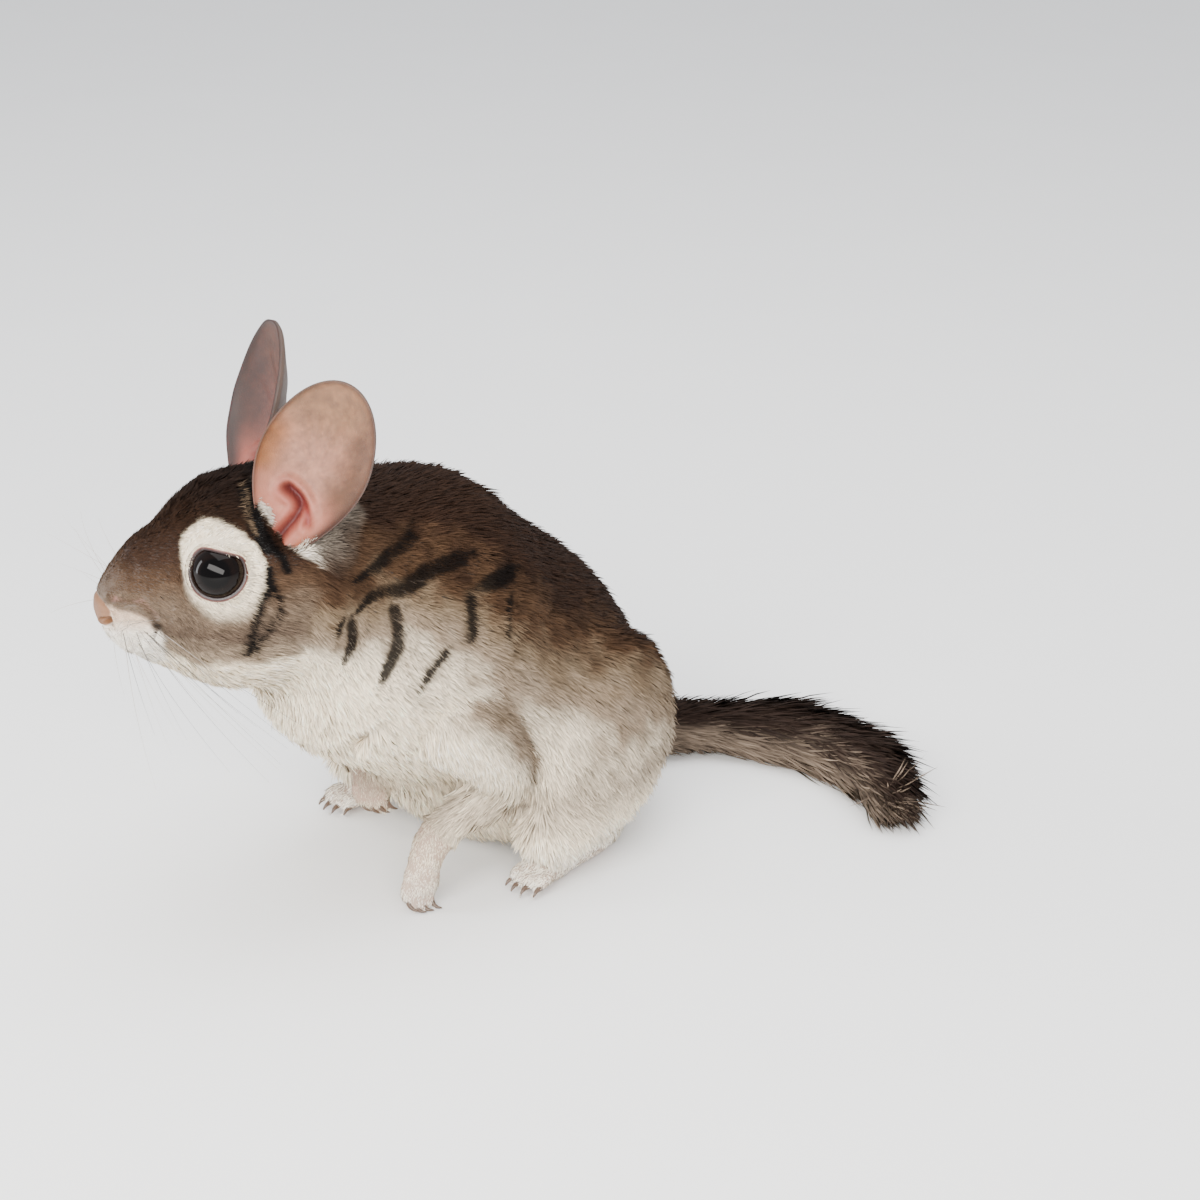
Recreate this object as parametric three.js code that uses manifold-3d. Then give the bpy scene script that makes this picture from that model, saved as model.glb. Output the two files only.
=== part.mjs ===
// A life-size chinchilla that sits on its haunches with its head turned to its right,
// the left forepaw reaching down to the floor and the right one tucked under the chest.
// Millimetres, +Z up. The animal faces -Y and its left is +X. The outline is that of the coat.
import * as THREE from "three";
import { mergeVertices } from "three/addons/utils/BufferGeometryUtils.js";
import Module from "manifold-3d";

const wasm = await Module();
wasm.setup();

// Driving dimensions
const GAP = 0.3; // between pieces that touch
const EYE_RADIUS = 7.6;
const EYE_APART = 33.5; // between the centres of the eyeballs
const EAR_HEIGHT = 48;
const EAR_WIDTH = 31;
const EAR_WALL = 1.3;
const THORAX_RADIUS = 42;
const HAUNCH_LENGTH = 90;
const PAW_WIDTH = 11;

const at = (x, y, z) => new THREE.Vector3(x, y, z);
const turned = (x, y, z) =>
  new THREE.Quaternion().setFromEuler(
    new THREE.Euler(...[x, y, z].map(THREE.MathUtils.degToRad), "ZYX"),
  );

// Forms are functions of a point: negative inside, zero on the surface, in about millimetres.
function ellipsoid(centre, radii, turn = turned(0, 0, 0)) {
  const back = turn.clone().invert();
  const q = new THREE.Vector3();
  return (p) => {
    q.copy(p).sub(centre).applyQuaternion(back).divide(radii);
    const reach = q.length();
    const slope = q.divide(radii).length();
    return slope > 0 ? (reach * (reach - 1)) / slope : -Math.min(...radii.toArray());
  };
}

function taper(from, to, fromRadius, toRadius) {
  const along = to.clone().sub(from);
  const q = new THREE.Vector3();
  return (p) => {
    const t = THREE.MathUtils.clamp(q.copy(p).sub(from).dot(along) / along.lengthSq(), 0, 1);
    const radius = THREE.MathUtils.lerp(fromRadius, toRadius, t);
    return q.copy(along).multiplyScalar(t).add(from).distanceTo(p) - radius;
  };
}

// The side of a plane that its normal points away from.
const behind = (plane) => (p) => plane.distanceToPoint(p);

const within = (...forms) => (p) => Math.max(...forms.map((form) => form(p)));

const grown = (form, by) => (p) => form(p) - by;

function blend(width, ...forms) {
  return (p) =>
    forms
      .map((form) => form(p))
      .reduce((a, b) => {
        const share = Math.max(width - Math.abs(a - b), 0) / width;
        return Math.min(a, b) - (share * share * width) / 4;
      });
}

// The point where a ray from inside a form leaves it.
function edgeOf(form, origin, direction) {
  const p = new THREE.Vector3();
  const value = (t) => form(p.copy(direction).multiplyScalar(t).add(origin));
  const step = 1;
  let far = step;
  while (value(far) < 0) far += step;
  let near = far - step;
  for (let halving = 0; halving < 14; halving++) {
    const middle = (near + far) / 2;
    if (value(middle) < 0) near = middle;
    else far = middle;
  }
  value(far);
  return p.clone();
}

// A closed surface from rings of points. Each ring has the same count, and a point closes each end.
function skinOf(first, rings, last) {
  const sides = rings[0].length;
  const points = [first, ...rings.flat(), last];
  const faces = [];
  const place = (ring, side) => 1 + ring * sides + (side % sides);
  for (let side = 0; side < sides; side++) {
    faces.push(0, place(0, side + 1), place(0, side));
    faces.push(points.length - 1, place(rings.length - 1, side), place(rings.length - 1, side + 1));
    for (let ring = 0; ring + 1 < rings.length; ring++) {
      const [a, b] = [place(ring, side), place(ring, side + 1)];
      const [c, d] = [place(ring + 1, side), place(ring + 1, side + 1)];
      if ((ring + side) % 2) faces.push(a, b, d, a, d, c);
      else faces.push(a, b, c, b, d, c);
    }
  }
  return new THREE.BufferGeometry().setFromPoints(points).setIndex(faces);
}

// Wraps a form by rays from a straight spine inside it: square to the spine along it, and fanned
// out at both ends.
function wrap(form, from, to, { sides, along, cap }) {
  const axis = to.clone().sub(from).normalize();
  const side = new THREE.Vector3().crossVectors(at(0, 0, 1), axis).normalize();
  const up = new THREE.Vector3().crossVectors(axis, side);
  const ring = (origin, lean) =>
    Array.from({ length: sides }, (_, n) => {
      const turn = (n / sides) * 2 * Math.PI;
      const ray = side
        .clone()
        .multiplyScalar(Math.cos(turn) * Math.cos(lean))
        .addScaledVector(up, Math.sin(turn) * Math.cos(lean))
        .addScaledVector(axis, Math.sin(lean));
      return edgeOf(form, origin, ray);
    });
  const rings = [];
  for (let n = 1; n <= cap; n++) rings.push(ring(from, (Math.PI / 2) * (n / (cap + 1) - 1)));
  for (let n = 0; n <= along; n++) rings.push(ring(from.clone().lerp(to, n / along), 0));
  for (let n = 1; n <= cap; n++) rings.push(ring(to, (Math.PI / 2) * (n / (cap + 1))));
  return skinOf(edgeOf(form, from, axis.clone().negate()), rings, edgeOf(form, to, axis));
}

// A closed tube along a curve. size(t) gives its half width and half thickness, and flat is the
// direction that its thickness is measured in.
function tube(curve, size, { sides, steps, flat = at(0, 0, 1) }) {
  const rings = [];
  for (let step = 0; step <= steps; step++) {
    const t = (step + 0.35) / (steps + 0.7);
    const ahead = curve.getTangentAt(t);
    const side = new THREE.Vector3().crossVectors(flat, ahead).normalize();
    const up = new THREE.Vector3().crossVectors(ahead, side);
    const [half, thick] = size(t);
    const middle = curve.getPointAt(t);
    rings.push(
      Array.from({ length: sides }, (_, n) => {
        const turn = (n / sides) * 2 * Math.PI;
        return middle
          .clone()
          .addScaledVector(side, half * Math.cos(turn))
          .addScaledVector(up, thick * Math.sin(turn));
      }),
    );
  }
  return skinOf(curve.getPointAt(0), rings, curve.getPointAt(1));
}

// Repeatable draws between 0 and 1.
function seeded(seed) {
  let state = seed;
  return () => {
    state = (state * 16807) % 2147483647;
    return state / 2147483647;
  };
}

const curveOf = (...points) => new THREE.CatmullRomCurve3(points);

// Radii along a limb, with round ends that take up a share of its length.
function rounded(radii, endShare = 0.16) {
  return (t) => {
    const place = t * (radii.length - 1);
    const n = Math.min(Math.floor(place), radii.length - 2);
    const radius = THREE.MathUtils.lerp(radii[n], radii[n + 1], place - n);
    const near = Math.min(t, 1 - t, endShare) / endShare;
    const half = radius * Math.sqrt(1 - (1 - near) ** 2);
    return [half, half];
  };
}

// Solids
function solidOf(geometry) {
  const bare = new THREE.BufferGeometry()
    .setAttribute("position", geometry.getAttribute("position"))
    .setIndex(geometry.index);
  const merged = mergeVertices(bare, 1e-4);
  const corners = Array.from(merged.index.array);
  const made = (triVerts) =>
    new wasm.Manifold(
      new wasm.Mesh({
        numProp: 3,
        vertProperties: merged.attributes.position.array,
        triVerts: new Uint32Array(triVerts),
      }),
    );
  const solid = made(corners);
  return solid.volume() > 0 ? solid : made(corners.reverse());
}

const joined = (...geometries) => geometries.map(solidOf).reduce((a, b) => a.add(b));

function meshOf(name, solid, material) {
  const largest = solid.decompose().reduce((a, b) => (a.volume() > b.volume() ? a : b));
  const { vertProperties, triVerts, numProp } = largest.getMesh();
  const points = new Float32Array((vertProperties.length / numProp) * 3);
  for (let n = 0; n < points.length; n++)
    points[n] = vertProperties[Math.floor(n / 3) * numProp + (n % 3)];
  const geometry = new THREE.BufferGeometry()
    .setAttribute("position", new THREE.BufferAttribute(points, 3))
    .setIndex(new THREE.BufferAttribute(new Uint32Array(triVerts), 1));
  geometry.computeVertexNormals();
  const mesh = new THREE.Mesh(geometry, material);
  mesh.name = name;
  return mesh;
}

// A block on one side of a plane, to cut with. It is centred on the point of the plane nearest to
// the place given.
function blockBehind(plane, by, place = at(0, 0, 0), size = 400) {
  const block = new THREE.BoxGeometry(size, size, size);
  block.translate(0, 0, by - size / 2);
  block.applyQuaternion(new THREE.Quaternion().setFromUnitVectors(at(0, 0, 1), plane.normal));
  return solidOf(block.translate(...plane.projectPoint(place, at(0, 0, 0)).toArray()));
}

// Materials
const coat = new THREE.MeshStandardMaterial({ color: 0x4a3a30, roughness: 0.95 });
const paleCoat = new THREE.MeshStandardMaterial({ color: 0xe6dccb, roughness: 0.95 });
const earSkin = new THREE.MeshStandardMaterial({ color: 0xb98972, roughness: 0.7 });
const eyeGloss = new THREE.MeshStandardMaterial({ color: 0x090606, roughness: 0.08 });
const brush = new THREE.MeshStandardMaterial({ color: 0x3b312b, roughness: 0.95 });

// The head, in its own frame: the origin lies midway between the eyes, -Y ahead, +X its left.
const HEAD_PLACE = at(-12, -77, 109);
const HEAD_TURN = turned(0, 0, -32);
const EYE = at(EYE_APART / 2, 0, 0);
const EYE_LOOK = at(0.9, -0.34, 0.2).normalize();
const mirrored = (v) => at(-v.x, v.y, v.z);
const both = (v, make) => [make(v), make(mirrored(v))];
const onHead = (v) => v.clone().applyQuaternion(HEAD_TURN).add(HEAD_PLACE);
const inHead = (form) => {
  const back = HEAD_TURN.clone().invert();
  const q = new THREE.Vector3();
  return (p) => form(q.copy(p).sub(HEAD_PLACE).applyQuaternion(back));
};

const skull = blend(
  7,
  ellipsoid(at(0, 12, -4), at(23, 27, 25)),
  taper(at(0, 2, -4.5), at(0, -12, -6.5), 21, 13.5),
  ellipsoid(at(0, -21, -13), at(10.4, 9, 9.5)),
  ...both(at(5.5, -17, -18), (v) => ellipsoid(v, at(6, 8, 6.5))),
  ellipsoid(at(0, -8, -24), at(9, 12, 7)),
  ...both(at(12, 5, -17), (v) => ellipsoid(v, at(12, 17, 16))),
  ellipsoid(at(0, 6, -26), at(16, 18, 11)),
);
const nosePad = ellipsoid(at(0, -26.6, -12.8), at(7.6, 4, 4.6));
const head = inHead(blend(2, skull, nosePad));

// The trunk, in the coat
const thorax = ellipsoid(at(0, -19, 74), at(THORAX_RADIUS - 3, THORAX_RADIUS, THORAX_RADIUS));
const loin = ellipsoid(at(0, 3, 60), at(41, 42, 38));
const haunch = ellipsoid(at(0, 18, 42), at(44, HAUNCH_LENGTH / 2 - 4, 41));
const rump = ellipsoid(at(0, 24, 28), at(46, 42, 28.5));
const nape = taper(at(0, -22, 84.5), onHead(at(0, 22, -8)), 33, 25.5);
const crop = ellipsoid(at(2, -45, 66), at(25, 21, 20));
const trunk = blend(10, thorax, loin, haunch, rump, nape, crop);
const whole = blend(10, trunk, head);

// Two planes part the head from the neck and the neck from the torso.
const planeAt = (point, normal) =>
  new THREE.Plane().setFromNormalAndCoplanarPoint(normal.normalize(), point);
const headCut = planeAt(onHead(at(0, 22, 0)), at(0, -1, 0.25).applyQuaternion(HEAD_TURN));
const neckCut = planeAt(at(0, -38, 88), at(-0.15, -1, 0.45));
const floor = planeAt(at(0, 0, 0), at(0, 0, 1));
const OVERRUN = 5;

const floorBlock = blockBehind(floor, 0);
const flipped = (plane) => plane.clone().negate();

const headWrap = (by) =>
  solidOf(
    wrap(
      within(grown(whole, by), grown(behind(flipped(headCut)), OVERRUN)),
      onHead(at(0, 14, -4)),
      onHead(at(0, -16, -13)),
      { sides: 30, along: 17, cap: 5 },
    ),
  ).subtract(blockBehind(headCut, GAP / 2 - by));

const torsoWrap = (by) =>
  solidOf(
    wrap(
      within(grown(whole, by), grown(behind(neckCut), OVERRUN)),
      at(0, 18, 42),
      at(0, -20, 74),
      { sides: 34, along: 12, cap: 7 },
    ),
  ).subtract(blockBehind(flipped(neckCut), GAP / 2 - by));

const neckWrap = (by) =>
  solidOf(
    wrap(
      within(
        grown(whole, by),
        grown(behind(headCut), OVERRUN),
        grown(behind(flipped(neckCut)), OVERRUN),
      ),
      at(0, -38, 88),
      onHead(at(0, 24, -6)),
      { sides: 32, along: 6, cap: 5 },
    ),
  )
    .subtract(blockBehind(neckCut, GAP / 2 - by))
    .subtract(blockBehind(flipped(headCut), GAP / 2 - by));

// A turn that faces a piece made towards -Y and upright along +Z.
function facing(look, upright) {
  const back = look.clone().normalize().negate();
  const side = new THREE.Vector3().crossVectors(back, upright).normalize();
  const up = new THREE.Vector3().crossVectors(side, back);
  return new THREE.Quaternion().setFromRotationMatrix(
    new THREE.Matrix4().makeBasis(side, back, up),
  );
}

const placed = (geometry, turn, place) =>
  geometry.applyQuaternion(turn).translate(...place.toArray());
const placedOnHead = (geometry, turn, place) =>
  placed(placed(geometry, turn, place), HEAD_TURN, HEAD_PLACE);

// Face details: lids, sockets, nostrils and the line of the mouth
const LID_WALL = 1;
const LID_OPEN = 57; // degrees from the middle of the eye to the lid's edge
const lidReach = EYE_RADIUS + 0.5;
const lids = both(EYE, (eye) => {
  const look = eye.x > 0 ? EYE_LOOK : mirrored(EYE_LOOK);
  const open = THREE.MathUtils.degToRad(LID_OPEN);
  const ring = new THREE.TorusGeometry(lidReach * Math.sin(open), LID_WALL, 5, 20);
  ring.rotateX(Math.PI / 2).scale(1.04, 1, 0.96);
  const middle = eye.clone().addScaledVector(look, lidReach * Math.cos(open));
  return placedOnHead(ring, facing(look, at(0, 0, 1)), middle);
});
const eyeBall = (eye, by) =>
  placedOnHead(new THREE.SphereGeometry(EYE_RADIUS + by, 16, 12), turned(0, 0, 0), eye);
const NOSTRIL = at(6.6, -28.6, -13.8);
const nostrils = both(NOSTRIL, (v) =>
  placedOnHead(new THREE.SphereGeometry(1, 8, 6).scale(1.5, 2.2, 1), turned(0, 0, 0), v),
);
const MOUTH_CORNER = 76; // degrees round from under the chin
const MOUTH_FRONT = 26;
const mouthSide = (side) =>
  Array.from({ length: 5 }, (_, n) => {
    const t = n / 5;
    const round = THREE.MathUtils.degToRad(THREE.MathUtils.lerp(MOUTH_CORNER, MOUTH_FRONT, t));
    const from = onHead(at(0, THREE.MathUtils.lerp(-12, -24, t), -15));
    const ray = at(side * Math.sin(round), 0, -Math.cos(round)).applyQuaternion(HEAD_TURN);
    return edgeOf(head, from, ray);
  });
const chinRay = at(0, -0.75, -1).normalize().applyQuaternion(HEAD_TURN);
const mouthFront = edgeOf(head, onHead(at(0, -20, -13)), chinRay);
const mouth = tube(
  curveOf(...mouthSide(1), mouthFront, ...mouthSide(-1).reverse()),
  () => [0.55, 0.8],
  { sides: 6, steps: 30 },
);

// Ears: an oval dish with a wall, deepest and narrowest at its foot
const EAR_CUP = 8;
function earShell() {
  const spokes = 22;
  const bands = 5;
  const wallAt = (reach) => EAR_WALL * (1 - 0.35 * reach);
  const point = (reach, turn, back) => {
    const tall = (Math.sin(turn) * reach + 1) / 2;
    const narrow = 0.72 + 0.28 * Math.sin((Math.min(tall / 0.6, 1) * Math.PI) / 2);
    const deep = EAR_CUP * (1.25 - 0.5 * tall) * (1 - reach ** 2);
    return at(
      (EAR_WIDTH / 2) * reach * Math.cos(turn) * narrow,
      deep + back * wallAt(reach) - 2.2 * (1 - tall) * (reach * Math.cos(turn)) ** 2,
      EAR_HEIGHT * tall,
    );
  };
  const ring = (reach, back) =>
    Array.from({ length: spokes }, (_, n) => point(reach, (n / spokes) * 2 * Math.PI, back));
  const reaches = Array.from({ length: bands }, (_, n) => (n + 1) / bands);
  const rings = [
    ...reaches.map((reach) => ring(reach, 0)),
    ...reaches.map((reach) => ring(reach, 1)).reverse(),
  ];
  return skinOf(point(0, 0, 0), rings, point(0, 0, 1));
}
const EARS = {
  ear_left: { foot: at(18, 17, 3), look: at(0.9, -0.36, 0.24), upright: at(0.16, 0.26, 1) },
  ear_right: { foot: at(-17, 11, 7), look: at(0.16, -1, 0.3), upright: at(-0.16, 0.3, 1) },
};

const chinchilla = new THREE.Group();

// Adds a node and gives back its solid. It is cut clear of the solids that it meets.
const add = (name, material, solid, ...clearOf) => {
  const cut = clearOf.reduce((left, other) => left.subtract(other), solid);
  chinchilla.add(meshOf(name, cut, material));
  return cut;
};

// Head, neck and torso
const sockets = joined(...both(EYE, (eye) => eyeBall(eye, GAP)));
add("head", coat, headWrap(0).add(joined(...lids)), sockets, joined(...nostrils), solidOf(mouth));
add("neck", coat, neckWrap(0));
add("torso", coat, torsoWrap(0), floorBlock);
const bodyShell = headWrap(GAP).add(neckWrap(GAP)).add(torsoWrap(GAP));

add("eye_left", eyeGloss, solidOf(eyeBall(EYE, 0)));
add("eye_right", eyeGloss, solidOf(eyeBall(mirrored(EYE), 0)));
for (const [name, { foot, look, upright }] of Object.entries(EARS)) {
  const shell = placedOnHead(earShell(), facing(look, upright), foot);
  add(name, earSkin, solidOf(shell), bodyShell, sockets);
}

// Legs. Each node ends a gap short of the next, at a plane square to the limb.
const grownTube = (curve, radii, options, by = 0) =>
  solidOf(tube(curve, rounded(radii.map((radius) => radius + by), options.ends), options));

// A digit: a tapered, bending tube with a small claw that curves on from its tip.
function digit(points, radii, curl) {
  const curve = curveOf(...points);
  const tip = curve.getPointAt(1);
  const ahead = curve.getTangentAt(1);
  const claw = curveOf(
    tip.clone().addScaledVector(ahead, -2.5),
    tip.clone().addScaledVector(ahead, 0.8).addScaledVector(curl, 0.3),
    tip.clone().addScaledVector(ahead, 1.6).addScaledVector(curl, 2),
  );
  return [
    tube(curve, rounded(radii, 0.25), { sides: 6, steps: 4, flat: curl }),
    tube(claw, (t) => [0.85 - 0.6 * t, 1 - 0.7 * t], { sides: 4, steps: 1, flat: curl }),
  ];
}

const LIMB_BLOCK = 26; // a wrist's cutting block, small enough to miss the rest of the limb

const FORELEG = {
  left: {
    leg: [at(24, -36, 64), at(33, -20, 46), at(32, -12, 33), at(23, -27, 21), at(21.5, -32, 16)],
    palm: at(22.3, -36, 8.6),
    reach: at(0.2, -0.45, -0.88),
    spread: at(0.35, 0.9, -0.1),
    curl: at(0.75, 0.6, 0),
  },
  right: {
    leg: [at(-24, -36, 62), at(-33, -20, 46), at(-30, -12, 33), at(-16, -22, 30), at(-10, -25, 28)],
    palm: at(-7, -27, 26),
    reach: at(0.45, -0.3, -0.85),
    spread: at(0.6, 0.8, 0),
    curl: at(0.2, 0.9, -0.2),
  },
};
const FORELEG_RADII = [15, 13, 9, 6.5, 5.2];
const LIMB_MESH = { sides: 14, steps: 12, flat: at(1, 0, 0) };
const limbShells = [];
for (const [side, { leg, palm, reach, spread, curl }] of Object.entries(FORELEG)) {
  const curve = curveOf(...leg);
  const wrist = curve.getPointAt(0.9);
  const cut = planeAt(wrist, curve.getTangentAt(0.9));
  const before = blockBehind(cut, GAP / 2, wrist, LIMB_BLOCK);
  const beyond = blockBehind(flipped(cut), GAP / 2, wrist, LIMB_BLOCK);
  const limb = grownTube(curve, FORELEG_RADII, LIMB_MESH);
  add(`foreleg_${side}`, coat, limb, bodyShell, beyond);
  limbShells.push(grownTube(curve, FORELEG_RADII, LIMB_MESH, GAP));
  const digits = [-1.5, -0.5, 0.5, 1.5].flatMap((place) => {
    const root = palm.clone().addScaledVector(spread, place * 2.3);
    const long = 8.6 - 0.8 * Math.abs(place);
    const knuckle = root.clone().addScaledVector(reach, long * 0.55).addScaledVector(curl, -0.6);
    const tip = root.clone().addScaledVector(reach, long).addScaledVector(curl, 0.8);
    return digit([root, knuckle, tip], [2.3, 2.1, 1.6], curl);
  });
  const hand = placed(
    new THREE.SphereGeometry(1, 12, 8).scale(PAW_WIDTH / 2, 4, 6),
    facing(new THREE.Vector3().crossVectors(spread, reach), reach.clone().negate()),
    palm,
  );
  const heel = grownTube(
    curveOf(curve.getPointAt(0.8), wrist, curve.getPointAt(1), palm),
    [6, 5.6, 5.2, 4.4],
    { sides: 14, steps: 5, ends: 0.1 },
  );
  add(
    `forepaw_${side}`,
    paleCoat,
    joined(hand, ...digits).add(heel),
    before,
    floorBlock,
    bodyShell,
  );
}

const FOOT_MESH = { sides: 12, steps: 8, ends: 0.14 };

// Hind legs: the thigh bulges from the flank, and the long foot lies flat on the floor.
for (const side of ["left", "right"]) {
  const out = side === "left" ? 1 : -1;
  const thigh = placed(
    new THREE.SphereGeometry(1, 20, 14).scale(13, 29, 32),
    turned(-18, 0, 0),
    at(out * 36.5, 21, 37),
  );
  const knee = placed(
    new THREE.SphereGeometry(1, 14, 10).scale(11, 17, 13),
    turned(20, 0, 0),
    at(out * 38, 5, 19),
  );
  const footCurve = curveOf(
    at(out * 33, 32, 7),
    at(out * 34, 24, 6),
    at(out * 36, 6, 5),
    at(out * 38, -8, 4),
  );
  const foot = grownTube(footCurve, [6, 7, 6, 6], FOOT_MESH);
  const toes = [-1.5, -0.5, 0.5, 1.5].flatMap((place) => {
    const root = at(out * (37.5 + place * 2.6), -3, 3.4);
    const tip = at(out * (38.5 + place * 3.4), -14 + Math.abs(place) * 1.5, 2.6);
    const middle = root.clone().lerp(tip, 0.5).add(at(0, 0, 1.2));
    return digit([root, middle, tip], [2.4, 2.3, 1.9], at(0, -0.2, -0.6));
  });
  add(`hindfoot_${side}`, paleCoat, foot.add(joined(...toes)), bodyShell, floorBlock);
  const footShell = grownTube(footCurve, [6, 7, 6, 6], FOOT_MESH, GAP);
  add(`hindleg_${side}`, coat, joined(thigh, knee), bodyShell, footShell, floorBlock, ...limbShells);
}

// The tail lies on the floor and bends round to the animal's left. Its last part is a brush.
const tailCurve = curveOf(
  at(0, 50, 20),
  at(1, 72, 12),
  at(12, 92, 8),
  at(36, 106, 7.5),
  at(64, 106, 7.5),
  at(84, 96, 7),
);
const TAIL_CUT = 0.42;
const tailCut = planeAt(tailCurve.getPointAt(TAIL_CUT), tailCurve.getTangentAt(TAIL_CUT));
const TAIL_BLOCK = 60;
const tailBlock = (plane) => blockBehind(plane, GAP / 2, tailCurve.getPointAt(TAIL_CUT), TAIL_BLOCK);
const tailCore = grownTube(tailCurve, [9, 7.5, 7, 7, 6.5, 4.5], { sides: 12, steps: 18, ends: 0.05 });
add("tail_base", coat, tailCore, bodyShell, floorBlock, tailBlock(flipped(tailCut)));

const random = seeded(7);
const LOCKS = 39;
const LOCK_LENGTH = 21;
const LOCK_WIDTH = 5.5;
const locks = Array.from({ length: LOCKS }, (_, n) => {
  const t = THREE.MathUtils.lerp(TAIL_CUT + 0.06, 0.97, (n + random()) / LOCKS);
  const middle = tailCurve.getPointAt(t);
  const ahead = tailCurve.getTangentAt(t);
  const side = new THREE.Vector3().crossVectors(ahead, at(0, 0, 1)).normalize();
  const round = n * 2.4 + random();
  const out = side.multiplyScalar(Math.cos(round)).addScaledVector(at(0, 0, 1), Math.sin(round));
  const long = LOCK_LENGTH * (0.8 + 0.4 * random());
  const root = middle.clone().addScaledVector(out, 2.5);
  const elbow = root.clone().addScaledVector(out, long * 0.32).addScaledVector(ahead, long * 0.38);
  const tip = elbow.clone().addScaledVector(out, long * 0.1).addScaledVector(ahead, long * 0.55);
  elbow.z = Math.max(elbow.z, 1);
  tip.z = Math.max(tip.z, 0.8);
  const width = (u) => (LOCK_WIDTH / 2) * (1 - 0.85 * u ** 1.6);
  return tube(curveOf(root, elbow, tip), (u) => [width(u), width(u) * 0.45], {
    sides: 4,
    steps: 3,
    flat: out,
  });
});
const brushSolid = locks.map(solidOf).reduce((a, b) => a.add(b), tailCore);
add("tail_brush", brush, brushSolid, bodyShell, floorBlock, tailBlock(tailCut));

// The origin is set under the middle of the whole.
const box = new THREE.Box3().setFromObject(chinchilla);
const middle = box.getCenter(at(0, 0, 0));
for (const mesh of chinchilla.children) mesh.geometry.translate(-middle.x, -middle.y, -box.min.z);

export default chinchilla;
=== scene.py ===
"""The looks of a life-size chinchilla that sits on its haunches. Metres, +Z up, in the frame of the model."""
import math

import bmesh
import bpy
import numpy as np
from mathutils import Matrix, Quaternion, Vector
from mathutils.bvhtree import BVHTree


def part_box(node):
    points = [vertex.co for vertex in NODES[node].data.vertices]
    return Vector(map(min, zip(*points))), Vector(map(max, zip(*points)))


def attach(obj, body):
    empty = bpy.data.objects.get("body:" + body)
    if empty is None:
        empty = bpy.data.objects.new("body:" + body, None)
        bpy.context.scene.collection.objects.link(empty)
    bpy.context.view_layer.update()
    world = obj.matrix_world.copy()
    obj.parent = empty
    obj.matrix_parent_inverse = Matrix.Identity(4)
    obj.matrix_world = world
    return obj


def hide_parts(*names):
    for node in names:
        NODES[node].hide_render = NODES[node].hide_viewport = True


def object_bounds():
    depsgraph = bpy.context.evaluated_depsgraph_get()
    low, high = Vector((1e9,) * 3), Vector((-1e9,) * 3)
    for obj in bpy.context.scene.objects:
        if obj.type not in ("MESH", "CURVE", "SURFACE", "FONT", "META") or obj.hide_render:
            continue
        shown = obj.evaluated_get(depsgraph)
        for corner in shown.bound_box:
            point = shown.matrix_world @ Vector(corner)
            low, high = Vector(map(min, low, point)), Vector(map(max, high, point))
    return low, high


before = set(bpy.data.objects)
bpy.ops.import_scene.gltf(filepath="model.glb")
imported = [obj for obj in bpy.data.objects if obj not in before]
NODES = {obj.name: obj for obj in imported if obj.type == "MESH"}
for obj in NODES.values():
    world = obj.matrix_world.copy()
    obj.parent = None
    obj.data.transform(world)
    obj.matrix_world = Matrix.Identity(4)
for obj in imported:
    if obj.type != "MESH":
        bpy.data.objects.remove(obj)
solid_box = [list(corner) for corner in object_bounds()]

MM = 0.001
SEED = 11

# Places. The head's frame lies midway between the eyes: x to its left, y to its back, z up.
# The body's frame is the one that the solids are written in. Both are in millimetres.
HEAD_IN_BODY = np.array((-12.0, -77.0, 109.0))


def middle(node):
    low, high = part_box(node)
    return np.array((low + high) / 2)


EYE_LEFT, EYE_RIGHT = middle("eye_left"), middle("eye_right")
HEAD_ORIGIN = (EYE_LEFT + EYE_RIGHT) / 2
HEAD_LEFT = (EYE_LEFT - EYE_RIGHT) / np.linalg.norm(EYE_LEFT - EYE_RIGHT)
HEAD_AXES = np.array((HEAD_LEFT, np.cross((0, 0, 1), HEAD_LEFT), (0, 0, 1)))
BODY_ORIGIN = HEAD_ORIGIN - HEAD_IN_BODY * MM


def on_head(points):
    return np.asarray(points, float) @ HEAD_AXES * MM + HEAD_ORIGIN


def in_head(points):
    return (points - HEAD_ORIGIN) @ HEAD_AXES.T / MM


def on_body(points):
    return np.asarray(points, float) * MM + BODY_ORIGIN


def in_body(points):
    return (points - BODY_ORIGIN) / MM


def unit(v):
    return v / np.maximum(np.linalg.norm(v, axis=-1, keepdims=True), 1e-9)


def step(low, high, x):
    """0 below low, 1 above high, smooth between."""
    t = np.clip((x - low) / (high - low), 0, 1)
    return t * t * (3 - 2 * t)


def mix(a, b, share):
    """Between a and b. Colours may be one for all the points, or one each."""
    share = np.asarray(share, float)
    if max(np.ndim(a), np.ndim(b)) > share.ndim or (share.ndim == 1 and np.shape(b)[-1:] == (3,)):
        share = share[..., None]
    return a * (1 - share) + b * share


def colour(code):
    """Linear red, green and blue from a hex code."""
    s = np.array([int(code[n : n + 2], 16) / 255 for n in (0, 2, 4)])
    return np.where(s <= 0.04045, s / 12.92, ((s + 0.055) / 1.055) ** 2.4)


def noise(points, size, seed=0):
    """Smooth value noise from -1 to 1 at points in millimetres, with bumps of about that size."""
    q = points / size + seed * 17.3
    cell = np.floor(q).astype(np.int64)
    f = q - cell
    f = f * f * (3 - 2 * f)
    total = np.zeros(len(points))
    for corner in range(8):
        d = np.array([(corner >> k) & 1 for k in range(3)])
        c = cell + d
        h = (c[:, 0] * 73856093) ^ (c[:, 1] * 19349663) ^ (c[:, 2] * 83492791) ^ (seed * 2654435761)
        h = (h ^ (h >> 13)) * 1274126177 & 0x7FFFFFFF
        value = (h % 65536) / 32767.5 - 1
        total += value * np.prod(np.where(d, f, 1 - f), axis=1)
    return total


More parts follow.
